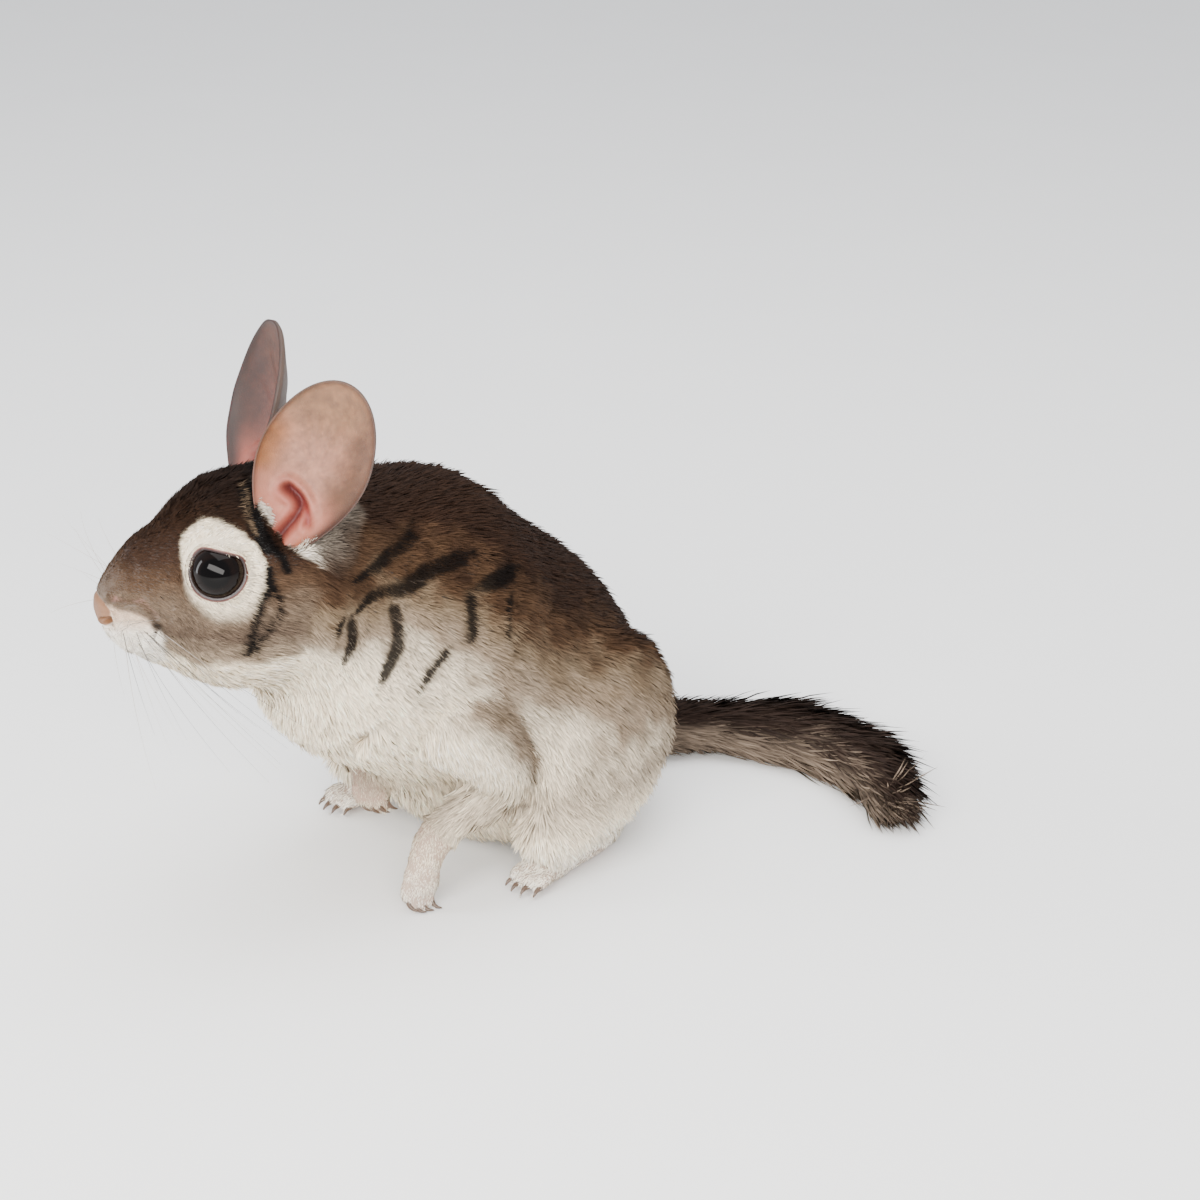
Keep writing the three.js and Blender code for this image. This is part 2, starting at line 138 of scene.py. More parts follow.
def polyline_distance(points, line):
    """Distance from 2-D or 3-D points to a broken line, and how far along the line the nearest point is."""
    best = np.full(len(points), 1e9)
    along = np.zeros(len(points))
    line = np.asarray(line, float)
    for n, (a, b) in enumerate(zip(line[:-1], line[1:])):
        ab = b - a
        t = np.clip((points - a) @ ab / (ab @ ab), 0, 1)
        d = np.linalg.norm(points - (a + t[:, None] * ab), axis=1)
        near = d < best
        best[near] = d[near]
        along[near] = (n + t[near]) / (len(line) - 1)
    return best, along


def near_line(points, line):
    return polyline_distance(points, line)[0]


def peak(x, size):
    """1 where x is 0, falling off on both sides within about that size."""
    return np.exp(-((x / size) ** 2))


def both_sides(h):
    """Points of the head, all brought to its left."""
    return np.column_stack((np.abs(h[:, 0]), h[:, 1], h[:, 2]))


def polygon_depth(points, outline):
    """Signed distance inside a flat outline, positive inside."""
    outline = np.asarray(outline, float)
    closed = np.vstack((outline, outline[:1]))
    distance = near_line(points, closed)
    inside = np.zeros(len(points), bool)
    x, y = points.T
    for (ax, ay), (bx, by) in zip(closed[:-1], closed[1:]):
        crosses = (ay > y) != (by > y)
        inside ^= crosses & (x < (bx - ax) * (y - ay) / (by - ay + 1e-12) + ax)
    return np.where(inside, distance, -distance)


# Meshes
def link(name, data):
    """A new object of the data, in the scene."""
    made = bpy.data.objects.new(name, data)
    bpy.context.scene.collection.objects.link(made)
    return made


def new_object(name, points, faces, smooth=True):
    mesh = bpy.data.meshes.new(name)
    mesh.from_pydata([tuple(p) for p in points], [], [tuple(f) for f in faces])
    mesh.polygons.foreach_set("use_smooth", [smooth] * len(mesh.polygons))
    mesh.update()
    return link(name, mesh)


def read(items, what, width, kind=np.float32):
    """The same field of every item in one part of a mesh, a row for each."""
    values = np.empty(len(items) * width, kind)
    items.foreach_get(what, values)
    return values.reshape(-1, width)


def places(mesh):
    return read(mesh.vertices, "co", 3).astype(float)


def normals(mesh):
    return read(mesh.vertex_normals, "vector", 3).astype(float)


def edges_of(mesh):
    return read(mesh.edges, "vertices", 2, np.int32)


def triangles_of(mesh, what="vertices"):
    return read(mesh.loop_triangles, what, 3, np.int32)


def set_places(mesh, points):
    mesh.vertices.foreach_set("co", points.astype(np.float32).ravel())
    mesh.update()


def paint(mesh, name, colours):
    layer = mesh.attributes.new(name, "FLOAT_COLOR", "POINT")
    rgba = np.ones((len(colours), 4), np.float32)
    rgba[:, :3] = colours
    layer.data.foreach_set("color", rgba.ravel())


def bezier_like(points, count):
    """Evenly spaced points on a smooth curve through the given ones."""
    p = np.asarray(points, float)
    p = np.vstack((2 * p[0] - p[1], p, 2 * p[-1] - p[-2]))
    out = []
    for n in range(1, len(p) - 2):
        t = np.linspace(0, 1, 24, endpoint=n == len(p) - 3)[:, None]
        a, b, c, d = p[n - 1 : n + 3]
        out.append(
            0.5 * (2 * b + (c - a) * t + (2 * a - 5 * b + 4 * c - d) * t**2 + (3 * b - a - 3 * c + d) * t**3)
        )
    fine = np.vstack(out)
    run = np.concatenate(([0], np.cumsum(np.linalg.norm(np.diff(fine, axis=0), axis=1))))
    even = np.linspace(0, run[-1], count)
    return np.column_stack([np.interp(even, run, fine[:, k]) for k in range(3)])


def smooth_flat(line, count):
    """Evenly spaced points on a smooth curve through flat points."""
    return bezier_like(np.column_stack((line, line[:, 0] * 0)), count)[:, :2]


def band_faces(rows, sides, closed=False):
    """Faces between rings of points, and from the last ring to the first one if closed."""
    faces = []
    for r in range(rows if closed else rows - 1):
        below = (r + 1) % rows
        for s in range(sides):
            t = (s + 1) % sides
            faces.append((r * sides + s, r * sides + t, below * sides + t, below * sides + s))
    return faces


def tube(points, radii, sides=12):
    """Points and faces of a closed tube along a curve."""
    ahead = unit(np.gradient(points, axis=0))
    side = unit(np.cross(ahead, (0, 0, 1)) + 1e-6)
    up = np.cross(side, ahead)
    turn = np.arange(sides) / sides * 2 * math.pi
    ring = side[:, None] * np.cos(turn)[None, :, None] + up[:, None] * np.sin(turn)[None, :, None]
    rings = points[:, None] + ring * np.asarray(radii)[:, None, None]
    made = np.vstack((rings.reshape(-1, 3), points[:1], points[-1:]))
    faces = band_faces(len(points), sides)
    first, last = len(made) - 2, len(made) - 1
    for s in range(sides):
        faces.append((first, (s + 1) % sides, s))
        end = (len(points) - 1) * sides
        faces.append((last, end + s, end + (s + 1) % sides))
    return made, faces


def evaluated_copy(source, name):
    """A plain mesh object from source with its modifiers carried out. source goes."""
    graph = bpy.context.evaluated_depsgraph_get()
    mesh = bpy.data.meshes.new_from_object(source.evaluated_get(graph))
    made = link(name, mesh)
    bpy.data.objects.remove(source)
    return made


# Camera
LENS, SENSOR, FRAME_PX = 85.0, 36.0, 1200
AZIMUTH, ELEVATION = math.radians(42), math.radians(22)
PX_PER_MM = 3.9
EYE_PX = (219.0, 571.0)


def make_camera():
    level = math.cos(ELEVATION)
    back = np.array((math.sin(AZIMUTH) * level, -math.cos(AZIMUTH) * level, math.sin(ELEVATION)))
    right = np.array((math.cos(AZIMUTH), math.sin(AZIMUTH), 0.0))
    up = np.cross(back, right)
    focal = FRAME_PX * LENS / SENSOR
    away = focal / PX_PER_MM * MM
    across = (EYE_PX[0] - FRAME_PX / 2) / focal * away
    above = (FRAME_PX / 2 - EYE_PX[1]) / focal * away
    data = bpy.data.cameras.new("camera")
    data.lens, data.sensor_width = LENS, SENSOR
    data.clip_start, data.clip_end = 0.02, 10
    camera = link("camera", data)
    camera.location = Vector(EYE_LEFT + back * away - right * across - up * above)
    camera.rotation_mode = "QUATERNION"
    camera.rotation_quaternion = Vector(-back).to_track_quat("-Z", "Y")
    bpy.context.scene.camera = camera


# Skin
FLESH = [
    "head", "neck", "torso", "foreleg_left", "foreleg_right", "forepaw_left", "forepaw_right",
    "hindleg_left", "hindleg_right", "hindfoot_left", "hindfoot_right", "tail_base", "tail_brush",
]
TAIL = [(0, 50, 20), (1, 72, 12), (12, 92, 8), (36, 106, 7.5), (64, 106, 7.5), (84, 96, 7)]
# The core of the tail's brush: how many rings it has, and its radius at some of them.
CORE_RINGS = 36
CORE_RADII = ((0, 24, 33, 35), (7.0, 6.6, 5.0, 2.2))
GRID = 0.92 * MM
CLOSE_GAPS = 0.35 * MM
THINNER = 0.42
EYE_RADIUS = 7.6

# For each node: how deep the skin lies under the coat's outline, the length of the hair, how
# thickly it grows (tufts per square millimetre) and how wide a tuft is. Millimetres.
COAT = {
    "head": (1.8, 4.8, 8.5, 0.36),
    "neck": (1.9, 5.4, 6.0, 0.38),
    "torso": (2.4, 6.8, 3.9, 0.46),
    "foreleg_left": (1.6, 5.0, 5.0, 0.45),
    "forepaw_left": (0.35, 1.7, 11.0, 0.26),
    "hindleg_left": (2.3, 6.4, 4.2, 0.46),
    "hindfoot_left": (0.4, 1.9, 9.0, 0.3),
    "tail_base": (2.2, 8.5, 4.2, 0.5),
    "tail_brush": (1.0, 19.0, 5.0, 0.75),
}
for limb in ("foreleg", "forepaw", "hindleg", "hindfoot"):
    COAT[limb + "_right"] = COAT[limb + "_left"]
# The head's row holds at the nape. This one holds at the nose, and beside an eye each is
# multiplied by the last row.
NOSE_COAT = (0.35, 1.6, 15.0, 0.22)
BESIDE_EYE = (0.15, 0.4, 1.2, 0.8)


def flesh_mesh():
    """All flesh as one list of points and triangles, with the node of each triangle."""
    points, faces, labels = [], [], []
    start = 0
    for number, name in enumerate(FLESH):
        if name == "tail_brush":
            line = on_body(bezier_like(TAIL, 60)[-CORE_RINGS:])
            co, tube_faces = tube(line, np.interp(np.arange(CORE_RINGS), *CORE_RADII) * MM)
            tris = []
            for face in tube_faces:
                tris.append(face[:3])
                if len(face) == 4:
                    tris.append((face[0], face[2], face[3]))
        else:
            mesh = NODES[name].data
            mesh.calc_loop_triangles()
            tris = triangles_of(mesh).tolist()
            co = places(mesh)
        points.append(co)
        faces += [tuple(int(v) + start for v in t) for t in tris]
        labels += [number] * len(tris)
        start += len(co)
    return np.vstack(points), faces, np.array(labels)


def smooth_over(values, edges, count, times, share=0.5):
    """Blurs values over a mesh's edges."""
    degree = np.bincount(edges.ravel(), minlength=count).astype(float)
    degree[degree == 0] = 1
    flat = values.reshape(count, -1).copy()
    for _ in range(times):
        for k in range(flat.shape[1]):
            total = np.bincount(edges[:, 0], flat[edges[:, 1], k], count)
            total += np.bincount(edges[:, 1], flat[edges[:, 0], k], count)
            flat[:, k] = flat[:, k] * (1 - share) + total / degree * share
    return flat.reshape(values.shape)


# Markings. Lines and outlines on the head are given as (y, z) or (x, y, z) in its frame.
CREAM = colour("ecdcc2")
WHITE = colour("f0e8da")
SILVER = colour("a39482")
GREY = colour("74634f")
BROWN = colour("4a3626")
DARK = colour("2b1c13")
BLACK = colour("080504")
TAN = colour("775338")
RIM_RED = colour("5a2f28")

DORSAL = unit(np.array((0.0, 0.6, 0.8)))
# The middle of the trunk: places along it, and its height at each.
SPINE = ((-70, -40, 0, 60), (86, 76, 58, 50))
MUZZLE = [(-36, -11), (-27, -10), (-20, -12), (-15.5, -16.5), (-13.5, -26), (-22, -33), (-36, -24)]
EYE_PATCH = [
    (-8.6, 8.2), (-2.6, 13.4), (3.1, 12.6), (8.8, 8.2), (11.6, 3.0), (11.4, -1.0),
    (9.3, -6.4), (5.2, -9.8), (-1.1, -11.2), (-4.5, -9.6), (-8.0, -5.7), (-9.0, 2.0),
]
EAR_PATCH = [
    (13, 24), (11.4, 18.5), (11.8, 15.5), (13.6, 12), (16.8, 7.5), (21.5, 4), (26, 0.8), (31, -2.8),
    (34.5, 0), (37, 5), (40, 9), (36, 16), (28, 22), (20, 28),
]
HEAD_LINES = [
    ([(12, 1.5), (11.2, -3), (9.3, -6.9), (7, -13.8), (5.1, -20.9)], 2.2),
    ([(12, -0.3), (14, -6), (14, -9.8), (11.6, -13), (9, -17), (6.9, -20.4)], 1.4),
    ([(13.4, 34), (11.4, 28), (9.9, 21), (9.0, 17), (9.8, 12), (12.2, 7.5)], 4.2),
    ([(10.8, 12), (12.8, 7.5), (15.5, 4.4), (16.4, 1.4)], 2.2),
]
PALE_ARC = [(10.4, 27), (8.6, 20), (8.4, 15), (9.6, 10)]
# The partings of the coat, painted near black: partly the dark bases of the hair there, partly painted shade
# in their depth.
CREASES = [
    ([(21.6, -34, 113), (24.2, -38, 110), (24.9, -48, 107), (25.1, -54, 105), (24.8, -61, 104.5)], 3.6),
    ([(30.6, -21, 103), (30.2, -30, 102.6), (29.2, -37.5, 101.7), (28.2, -45, 98.9),
      (26.1, -53, 98.9), (24, -60, 95)], 4.0),
    ([(27.4, -49, 97.3), (28.8, -48, 87), (27.7, -49.7, 80.5), (24.5, -52, 73.8), (20.2, -54, 67.4)], 2.7),
    ([(33.1, -7, 94.8), (35, -18, 94.8), (34.7, -26, 94.8)], 4.2),
    ([(34.6, -27, 94.4), (36.5, -27.6, 89.3), (37.2, -28.5, 84), (37, -31, 81)], 3.4),
    ([(35.4, -35.8, 81.2), (33.7, -40, 76.4), (30.5, -44.7, 69)], 2.2),
    ([(23.6, -63.4, 96.7), (21.7, -63, 90.4), (20.5, -64.5, 88.8)], 2.0),
    ([(23.8, -60.2, 94.1), (21.9, -58.8, 86.3), (19.5, -59.3, 81.2), (17, -59.8, 77)], 2.0),
    ([(36.1, -12.2, 90.4), (38.1, -16.6, 84.7), (39.2, -17.9, 77.5)], 1.6),
]


# Millimetres added on the head to the distance from a parting.
OFF_HEAD = 12


def round_outline(corners):
    """A smooth closed outline through the corners."""
    line = np.array(corners + corners[:3], float)
    flat = smooth_flat(line, 12 * len(line))
    reach = np.linalg.norm(flat - line[1], axis=1)
    half = len(flat) // 2
    return flat[reach[:half].argmin() : half + reach[half:].argmin() : 3]


EYE_OUTLINE = round_outline(EYE_PATCH)


def ramp(x, stops):
    at, colours = zip(*stops)
    colours = np.array(colours)
    return np.column_stack([np.interp(x, at, colours[:, k]) for k in range(3)])


def crease_distance(b):
    """Distance to the nearest parting of the coat, less its own half width, on both sides."""
    best = np.full(len(b), 99.0)
    folded = b.copy()
    folded[:, 0] = np.abs(folded[:, 0])
    ragged = noise(b, 2.2, 18)
    for line, width in CREASES:
        distance, along = polyline_distance(folded, bezier_like(line, 3 * len(line)))
        taper = np.clip(along / 0.1, 0.4, 1) * np.clip((1 - along) / 0.4, 0, 1) ** 0.5
        half = (0.62 * width + 0.25 * ragged) * taper
        best = np.minimum(best, distance - half)
    return best


def parting_distance(points, share):
    """crease_distance for points in metres. The head has no partings, so there it reads far off."""
    return crease_distance(in_body(points)) + OFF_HEAD * share[:, 0]


def body_colours(b, n, limbs):
    """Colours of the trunk and limbs: dark above, grizzled on the flank, cream beneath."""
    middle_line = np.column_stack((b[:, 0] * 0, 5 + 0.8 * (b[:, 1] - 5), np.interp(b[:, 1], *SPINE)))
    outward = unit(b - middle_line)
    above = (0.4 * n + 0.6 * outward) @ DORSAL + 0.1 * noise(b, 13, 1) + 0.11 * noise(b, 4, 2)
    above += 0.3 * step(-50, -66, b[:, 1]) * step(78, 92, b[:, 2])
    trunk = ramp(
        above,
        [(-1, CREAM), (-0.42, CREAM), (-0.26, colour("cdbfa9")), (-0.06, colour("8d7c69")), (0.18, GREY),
         (0.36, BROWN), (0.56, DARK), (1, DARK)],
    )
    limb = ramp(b[:, 2], [(0, WHITE), (14, CREAM), (26, SILVER), (40, GREY)])
    return mix(trunk, limb, limbs)


def head_colours(h, n):
    """Colours of the head, the same on both sides."""
    side = both_sides(h)
    profile = side[:, 1:]
    streaks = noise(h * (1, 0.45, 1.6), 2.4, 44)
    height = side[:, 2] + 8 * n[:, 2] + 1.6 * noise(h, 6, 3) + 1.2 * noise(h, 2, 4) + 2.2 * streaks
    base = ramp(
        height,
        [(-36, CREAM), (-29, CREAM), (-25, colour("93826e")), (-17, colour("5b4c40")), (-9, colour("6a5a4b")),
         (0, colour("4c392a")), (8, colour("35241a")), (18, colour("28190f")), (26, colour("1c110b"))],
    )
    lip = mix(colour("cdb39c"), WHITE, step(-12, -19, side[:, 2]))
    base = mix(base, lip, step(-0.9, 0.9, polygon_depth(profile, MUZZLE) + 0.5 * noise(h, 2, 14)))
    outer = step(5, 9, side[:, 0])
    ragged = 0.35 * noise(h, 1.6, 17)
    patch_edge = mix(0.5, 3.0, step(2, -10, side[:, 2]))
    patch = step(-0.6, 1, (polygon_depth(profile, EYE_OUTLINE) + ragged) / patch_edge)
    base = mix(base, CREAM, outer * patch)
    under_ear = step(-0.6, 0.8, polygon_depth(profile, EAR_PATCH) + ragged)
    base = mix(base, colour("f3e6d2"), step(4, 8, side[:, 0]) * under_ear)
    crown = step(9, 13, side[:, 1]) * step(15, 19, side[:, 2])
    base = mix(base, BLACK, 0.85 * crown)
    for line, width in HEAD_LINES:
        distance = near_line(profile, line)
        base = mix(base, BLACK, outer * (1 - step(width / 2 - 0.3, width / 2 + 0.4, distance)))
    base = mix(base, colour("6e5c49"), outer * (1 - step(0.1, 0.6, near_line(profile, PALE_ARC))))
    # Painted shade: near black at the corner of the mouth, and a dark line along the mouth's slit.
    corner = np.array((13.6, -16.2, -14.6))
    base = mix(base, BLACK, 0.8 * (1 - step(0.8, 2.2, np.linalg.norm(side - corner, axis=1))))
    return mix(base, colour("3a2a22"), 0.8 * (1 - step(0.25, 0.9, near_line(side, MOUTH))))


MOUTH = np.array(
    [(0, -28, -21), (5, -25.5, -22.5), (9, -21, -22), (12.2, -17.5, -18.5), (13.4, -16.5, -15.5)]
)
LIP_FOLD = np.array([(7.4, -26.7, -8.2), (11.7, -20, -7.8), (13.6, -16.5, -12)])


def tail_colours(b, n):
    """The tail is dark above and grizzled at its sides."""
    above = step(-0.2, 0.7, n[:, 2] + 0.3 * noise(b, 6, 12))[:, None]
    return colour("6f6154") * (1 - above) + colour("241a15") * above


def markings(points, n, head_share, limb_share, is_tail=0):
    """The coat's colour at points of the skin or along a tuft."""
    b, h = in_body(points), in_head(points)
    colours = mix(body_colours(b, n, limb_share), head_colours(h, n @ HEAD_AXES.T), head_share)
    # The partings are painted near black: partly the hair's dark bases, partly painted shade in their depth.
    parting = (1 - step(-0.2, 0.9, crease_distance(b))) * (1 - head_share)
    colours = mix(colours, BLACK, 0.94 * parting)
    return mix(colours, tail_colours(b, n), np.ones(len(b)) * is_tail)


def eye_distance(points):
    """Millimetres from the surface of the nearer eyeball."""
    h = in_head(points)
    centre = in_head(EYE_LEFT)[0]
    h[:, 0] = np.abs(h[:, 0])
    return np.linalg.norm(h - (centre, 0, 0), axis=1) - EYE_RADIUS


def hand_of(name):
    """1 for a piece on the left and -1 for one on the right."""
    return 1 if name.endswith("left") else -1


def numbers_of(*words):
    """The places in FLESH of the nodes whose names hold one of the words."""
    return [n for n, name in enumerate(FLESH) if any(word in name for word in words)]


FEET = numbers_of("paw", "foot")


def coat_fields(points, n, labels, edges):
    """Depth, length, thickness of growth, tuft width, lie and shares of the head and limbs."""
    table = np.array([COAT[name] for name in FLESH])[labels]
    h = in_head(points)
    back = step(-30, 16, h[:, 1])
    near_eye = step(0.5, 8, eye_distance(points))
    is_head = labels == FLESH.index("head")
    rows = zip(NOSE_COAT, COAT["head"], BESIDE_EYE)
    face = np.column_stack([mix(a, b, back) * mix(share, 1, near_eye) for a, b, share in rows])
    table = np.where(is_head[:, None], face, table)
    table = smooth_over(table, edges, len(points), 10)
    height = in_body(points)[:, 2]
    feet, legs = np.isin(labels, FEET), np.isin(labels, numbers_of("leg"))
    share = np.column_stack((is_head, feet + legs * step(42, 20, height)))
    share = smooth_over(share.astype(float), edges, len(points), 16)
    return table, share, lie_field(points, n, labels, edges)


def lie_field(points, n, labels, edges):
    """The way the hair points, along the skin."""
    b, h = in_body(points), in_head(points)
    lie = np.tile((0.0, 0.75, -0.66), (len(points), 1))
    sign = np.sign(h[:, 0])
    for number, name in enumerate(FLESH):
        here = labels == number
        out = hand_of(name)
        if name == "head":
            way = np.column_stack((0.2 * sign[here], np.ones(here.sum()), np.full(here.sum(), -0.3)))
            centre = np.column_stack((sign[here] * in_head(EYE_LEFT)[0], np.zeros((here.sum(), 2))))
            from_eye = h[here] - centre
            reach = np.linalg.norm(from_eye, axis=1)
            way += 2.2 * (1 - step(8, 14, reach))[:, None] * from_eye / reach[:, None]
            lie[here] = way @ HEAD_AXES
        elif name.startswith("foreleg"):
            fore = np.array((-0.45 * out, -0.65, -0.6))
            down = np.array((0.1 * out, 0.5, -0.9))
            lie[here] = mix(fore, down, step(30, 42, b[here][:, 2]))
        elif name.startswith("forepaw"):
            lie[here] = (0.2, -0.45, -0.88) if out > 0 else (0.45, -0.3, -0.85)
        elif name.startswith("hindleg"):
            lie[here] = (0, 0.5, -0.85)
        elif name.startswith("hindfoot"):
            lie[here] = (0, -1, -0.15)
        elif name.startswith("tail"):
            line = on_body(bezier_like(TAIL, 80))
            ahead = unit(np.gradient(line, axis=0))
            nearest = ((points[here][:, None] - line[None]) ** 2).sum(2).argmin(1)
            lie[here] = ahead[nearest]
    lie = smooth_over(unit(lie), edges, len(points), 14)
    return unit(lie - n * (lie * n).sum(1, keepdims=True))


NOSE = np.array((0.0, -29.0, -13.2))
NOSE_SIZE = np.array((8.8, 4.6, 4.0))
WHISKER_PAD = np.array((8.0, -22.5, -15.5))
PHILTRUM = np.array([(0, -31.5, -14.0), (0, -30, -18), (0, -28, -21)])
NOSTRIL = np.array([(5.6, -30.2, -15.2), (6.8, -29.0, -14.6), (8.0, -27.6, -14.2)])


def nose_reach(side):
    return np.linalg.norm((side - NOSE) / NOSE_SIZE, axis=1)


def sculpt_face(points):
    """Fine forms of the face, as millimetres along the normal."""
    side = both_sides(in_head(points))
    raised = np.zeros(len(points))
    mouth = near_line(side, MOUTH)
    raised -= 1.1 * peak(mouth, 0.55)
    raised += 0.4 * peak(mouth - 1.6, 0.9)
    fold = near_line(side, LIP_FOLD)
    raised -= 0.7 * peak(fold, 0.8)
    raised += 0.35 * peak(fold - 1.9, 1.0)
    raised += 0.6 * peak(np.linalg.norm(side - WHISKER_PAD, axis=1), 5)
    raised -= 0.6 * peak(near_line(side, PHILTRUM), 0.5)
    reach = nose_reach(side)
    raised -= 0.5 * peak(reach - 1.02, 0.07)
    raised += 0.25 * (1 - step(0.75, 1.0, reach))
    nostril = near_line(side, NOSTRIL)
    raised += 0.35 * peak(nostril - 1.7, 0.6)
    raised -= 2.4 * (1 - step(0.5, 1.35, nostril))
    return raised


# Eyes and lids. The upper lid is flat and slopes down to the back.
EYE_LOOK = unit(np.array((0.91, -0.27, 0.26)))
LID_SLOPE = math.radians(72)
# Half the opening's length, half its height under the upper lid, and the most that either may be.
LID_LENGTH, LID_HEIGHT, LID_MOST = 6.7, 5.1, 7.3
# Degrees past the lids' edge, and how far the skin there stands off the ball, in millimetres.
LID_SEAT = ((1, 4, 10, 26), (-1.2, 0.3, 0.85, 1.1))


def eye_axes(hand):
    """Where an eye looks, and the ways to its back corner and its upper lid."""
    look = EYE_LOOK * (hand, 1, 1)
    back = unit(np.array((0, 1, 0)) - look * look[1])
    return look, back, np.cross(look, back) * hand


def lid_opening(turn):
    """Degrees from the middle of the eye to the lids' edge, by the turn from the back corner upwards."""
    across = LID_LENGTH + 0.25 * np.cos(turn) ** 2
    flat = LID_HEIGHT / np.maximum(np.cos(turn - LID_SLOPE), 0.15)
    half = -np.log(np.exp(-2.2 * across) + np.exp(-2.2 * flat)) / 2.2
    return np.degrees(np.arcsin(np.minimum(half, LID_MOST) / EYE_RADIUS))


def eye_centre(hand):
    return in_head(EYE_LEFT if hand > 0 else EYE_RIGHT)


def past_lids(h, hand):
    """Degrees past the edge of one eye's lids, and the distance and way from the middle of the ball."""
    look, back, up = eye_axes(hand)
    ray = h - eye_centre(hand)
    reach = np.linalg.norm(ray, axis=1)
    ray /= reach[:, None]
    angle = np.degrees(np.arccos(np.clip(ray @ look, -1, 1)))
    return angle - lid_opening(np.arctan2(ray @ up, ray @ back)), reach, ray


def seat_eyes(points):
    """Draws the skin up to the lids of both eyes, and under the balls inside them."""
    h = in_head(points)
    for hand in (1, -1):
        past, reach, ray = past_lids(h, hand)
        seat = EYE_RADIUS + np.interp(past, *LID_SEAT)
        share = (1 - step(9, LID_SEAT[0][-1], past)) * (reach < EYE_RADIUS + 6)
        h = eye_centre(hand) + ray * mix(reach, seat, share)[:, None]
    return on_head(h)


def build_skin():
    """The skin under the coat, in one piece, with the facts that the coat grows by."""
    points, faces, labels = flesh_mesh()
    tree = BVHTree.FromPolygons([Vector(p) for p in points], faces)
    raw = new_object("raw", points, faces)
    set_places(raw.data, places(raw.data) + normals(raw.data) * CLOSE_GAPS)
    remesh = raw.modifiers.new("grid", "REMESH")
    remesh.mode = "VOXEL"
    remesh.voxel_size = GRID
    smooth = raw.modifiers.new("smooth", "SMOOTH")
    smooth.iterations = 5
    skin = thin_out(evaluated_copy(raw, "rough"))
    mesh = skin.data
    for reach in (12, 2.2):
        refine(mesh, near_face(places(mesh), reach))
    co, n, edges = places(mesh), normals(mesh), edges_of(mesh)
    fine = near_face(co, 10).astype(float)[:, None]
    co = mix(co, smooth_over(co, edges, len(co), 6), fine[:, 0])
    near = np.array([labels[tree.find_nearest(Vector(p))[2]] for p in co])
    table, share, lie = coat_fields(co, n, near, edges)
    crease = parting_distance(co, share)
    groove = -1.8 * peak(np.maximum(crease, 0), 1.4)
    groove += 1.0 * peak(crease - 4.5, 3)
    is_face = step(0.5, 1, share[:, 0])
    moved = co + n * ((groove - table[:, 0] + is_face * sculpt_face(co)) * MM)[:, None]
    moved = smooth_over(moved, edges, len(co), 1)
    for name in EARS:
        moved = seat_ear(moved, name)
    set_places(mesh, seat_eyes(moved))
    mesh.polygons.foreach_set("use_smooth", [True] * len(mesh.polygons))
    return skin, near, edges, normals(mesh), table, share, lie


def thin_out(rough):
    """Fewer and larger faces where the form is plain, away from the face, the ears and the feet."""
    co = places(rough.data)
    plain = (in_head(co)[:, 1] > 26) & (in_body(co)[:, 2] > 30) | (in_body(co)[:, 1] > 26)
    group = rough.vertex_groups.new(name="plain")
    group.add(np.nonzero(plain)[0].tolist(), 1.0, "REPLACE")
    thin = rough.modifiers.new("thin", "DECIMATE")
    thin.ratio = THINNER
    thin.vertex_group = group.name
    return evaluated_copy(rough, "skin")


def near_face(co, reach):
    """Which points lie near an eye, the nose or the mouth."""
    side = both_sides(in_head(co))
    tip = np.linalg.norm(side - (4, -25, -14), axis=1) - 6
    near = np.minimum(near_line(side, MOUTH), near_line(side, NOSTRIL))
    near = np.minimum(near, eye_distance(co))
    return (near < reach * 0.5) | (tip < reach * 0.5 - 1)


def refine(mesh, chosen):
    """Splits the edges whose ends are both chosen."""
    shape = bmesh.new()
    shape.from_mesh(mesh)
    edges = [e for e in shape.edges if chosen[e.verts[0].index] and chosen[e.verts[1].index]]
    bmesh.ops.subdivide_edges(shape, edges=edges, cuts=1, use_grid_fill=True)
    bmesh.ops.triangulate(shape, faces=[f for f in shape.faces if len(f.verts) > 4])
    shape.to_mesh(mesh)
    shape.free()


# Coat
TIP_BLACK = 0.28
TIP_PALE = 0.3
LOWEST = 0.4 * MM
TIP_REACH = 2.0
MOST_TRIANGLES = 190000
PATCH = 0.003
# Heights along a tuft, the share of its width at each and the share of its colour's brightness.
LONG_TUFT = ((0.0, 0.7, 0.4), (0.36, 1.0, 0.82), (0.7, 0.72, 1.1), (1.0, 0.0, 1.0))
SHORT_TUFT = ((0.0, 0.8, 0.55), (0.5, 0.9, 0.95), (1.0, 0.0, 1.1))
# For each piece of the coat: its nodes, the form of its tufts and how far they stand up, in radians.
COAT_PIECES = {
    "coat_head": (numbers_of("head"), SHORT_TUFT, 0.12),
    "coat_neck": (numbers_of("neck"), LONG_TUFT, 0.08),
    "coat_trunk": (numbers_of("torso"), LONG_TUFT, 0.06),
    "coat_thighs": (numbers_of("hindleg"), LONG_TUFT, 0.08),
    "coat_feet": (numbers_of("foreleg", "paw", "foot"), SHORT_TUFT, 0.1),
    "coat_tail": (numbers_of("tail"), LONG_TUFT, 0.3),
}


def sample_roots(mesh, density, rng):
    """Places on triangles, as triangle numbers and three weights, by tufts per square millimetre."""
    mesh.calc_loop_triangles()
    corners, loops = triangles_of(mesh), triangles_of(mesh, "loops")
    count = len(corners)
    co = places(mesh)[corners]
    area = np.linalg.norm(np.cross(co[:, 1] - co[:, 0], co[:, 2] - co[:, 0]), axis=1) / 2 / MM**2
    wanted = area * density[corners].mean(1)
    number = np.floor(wanted + rng.random(count)).astype(int)
    chosen = np.repeat(np.arange(count), number)
    r1, r2 = np.sqrt(rng.random(len(chosen))), rng.random(len(chosen))
    weights = np.column_stack((1 - r1, r1 * (1 - r2), r1 * r2))
    return corners[chosen], loops[chosen], weights


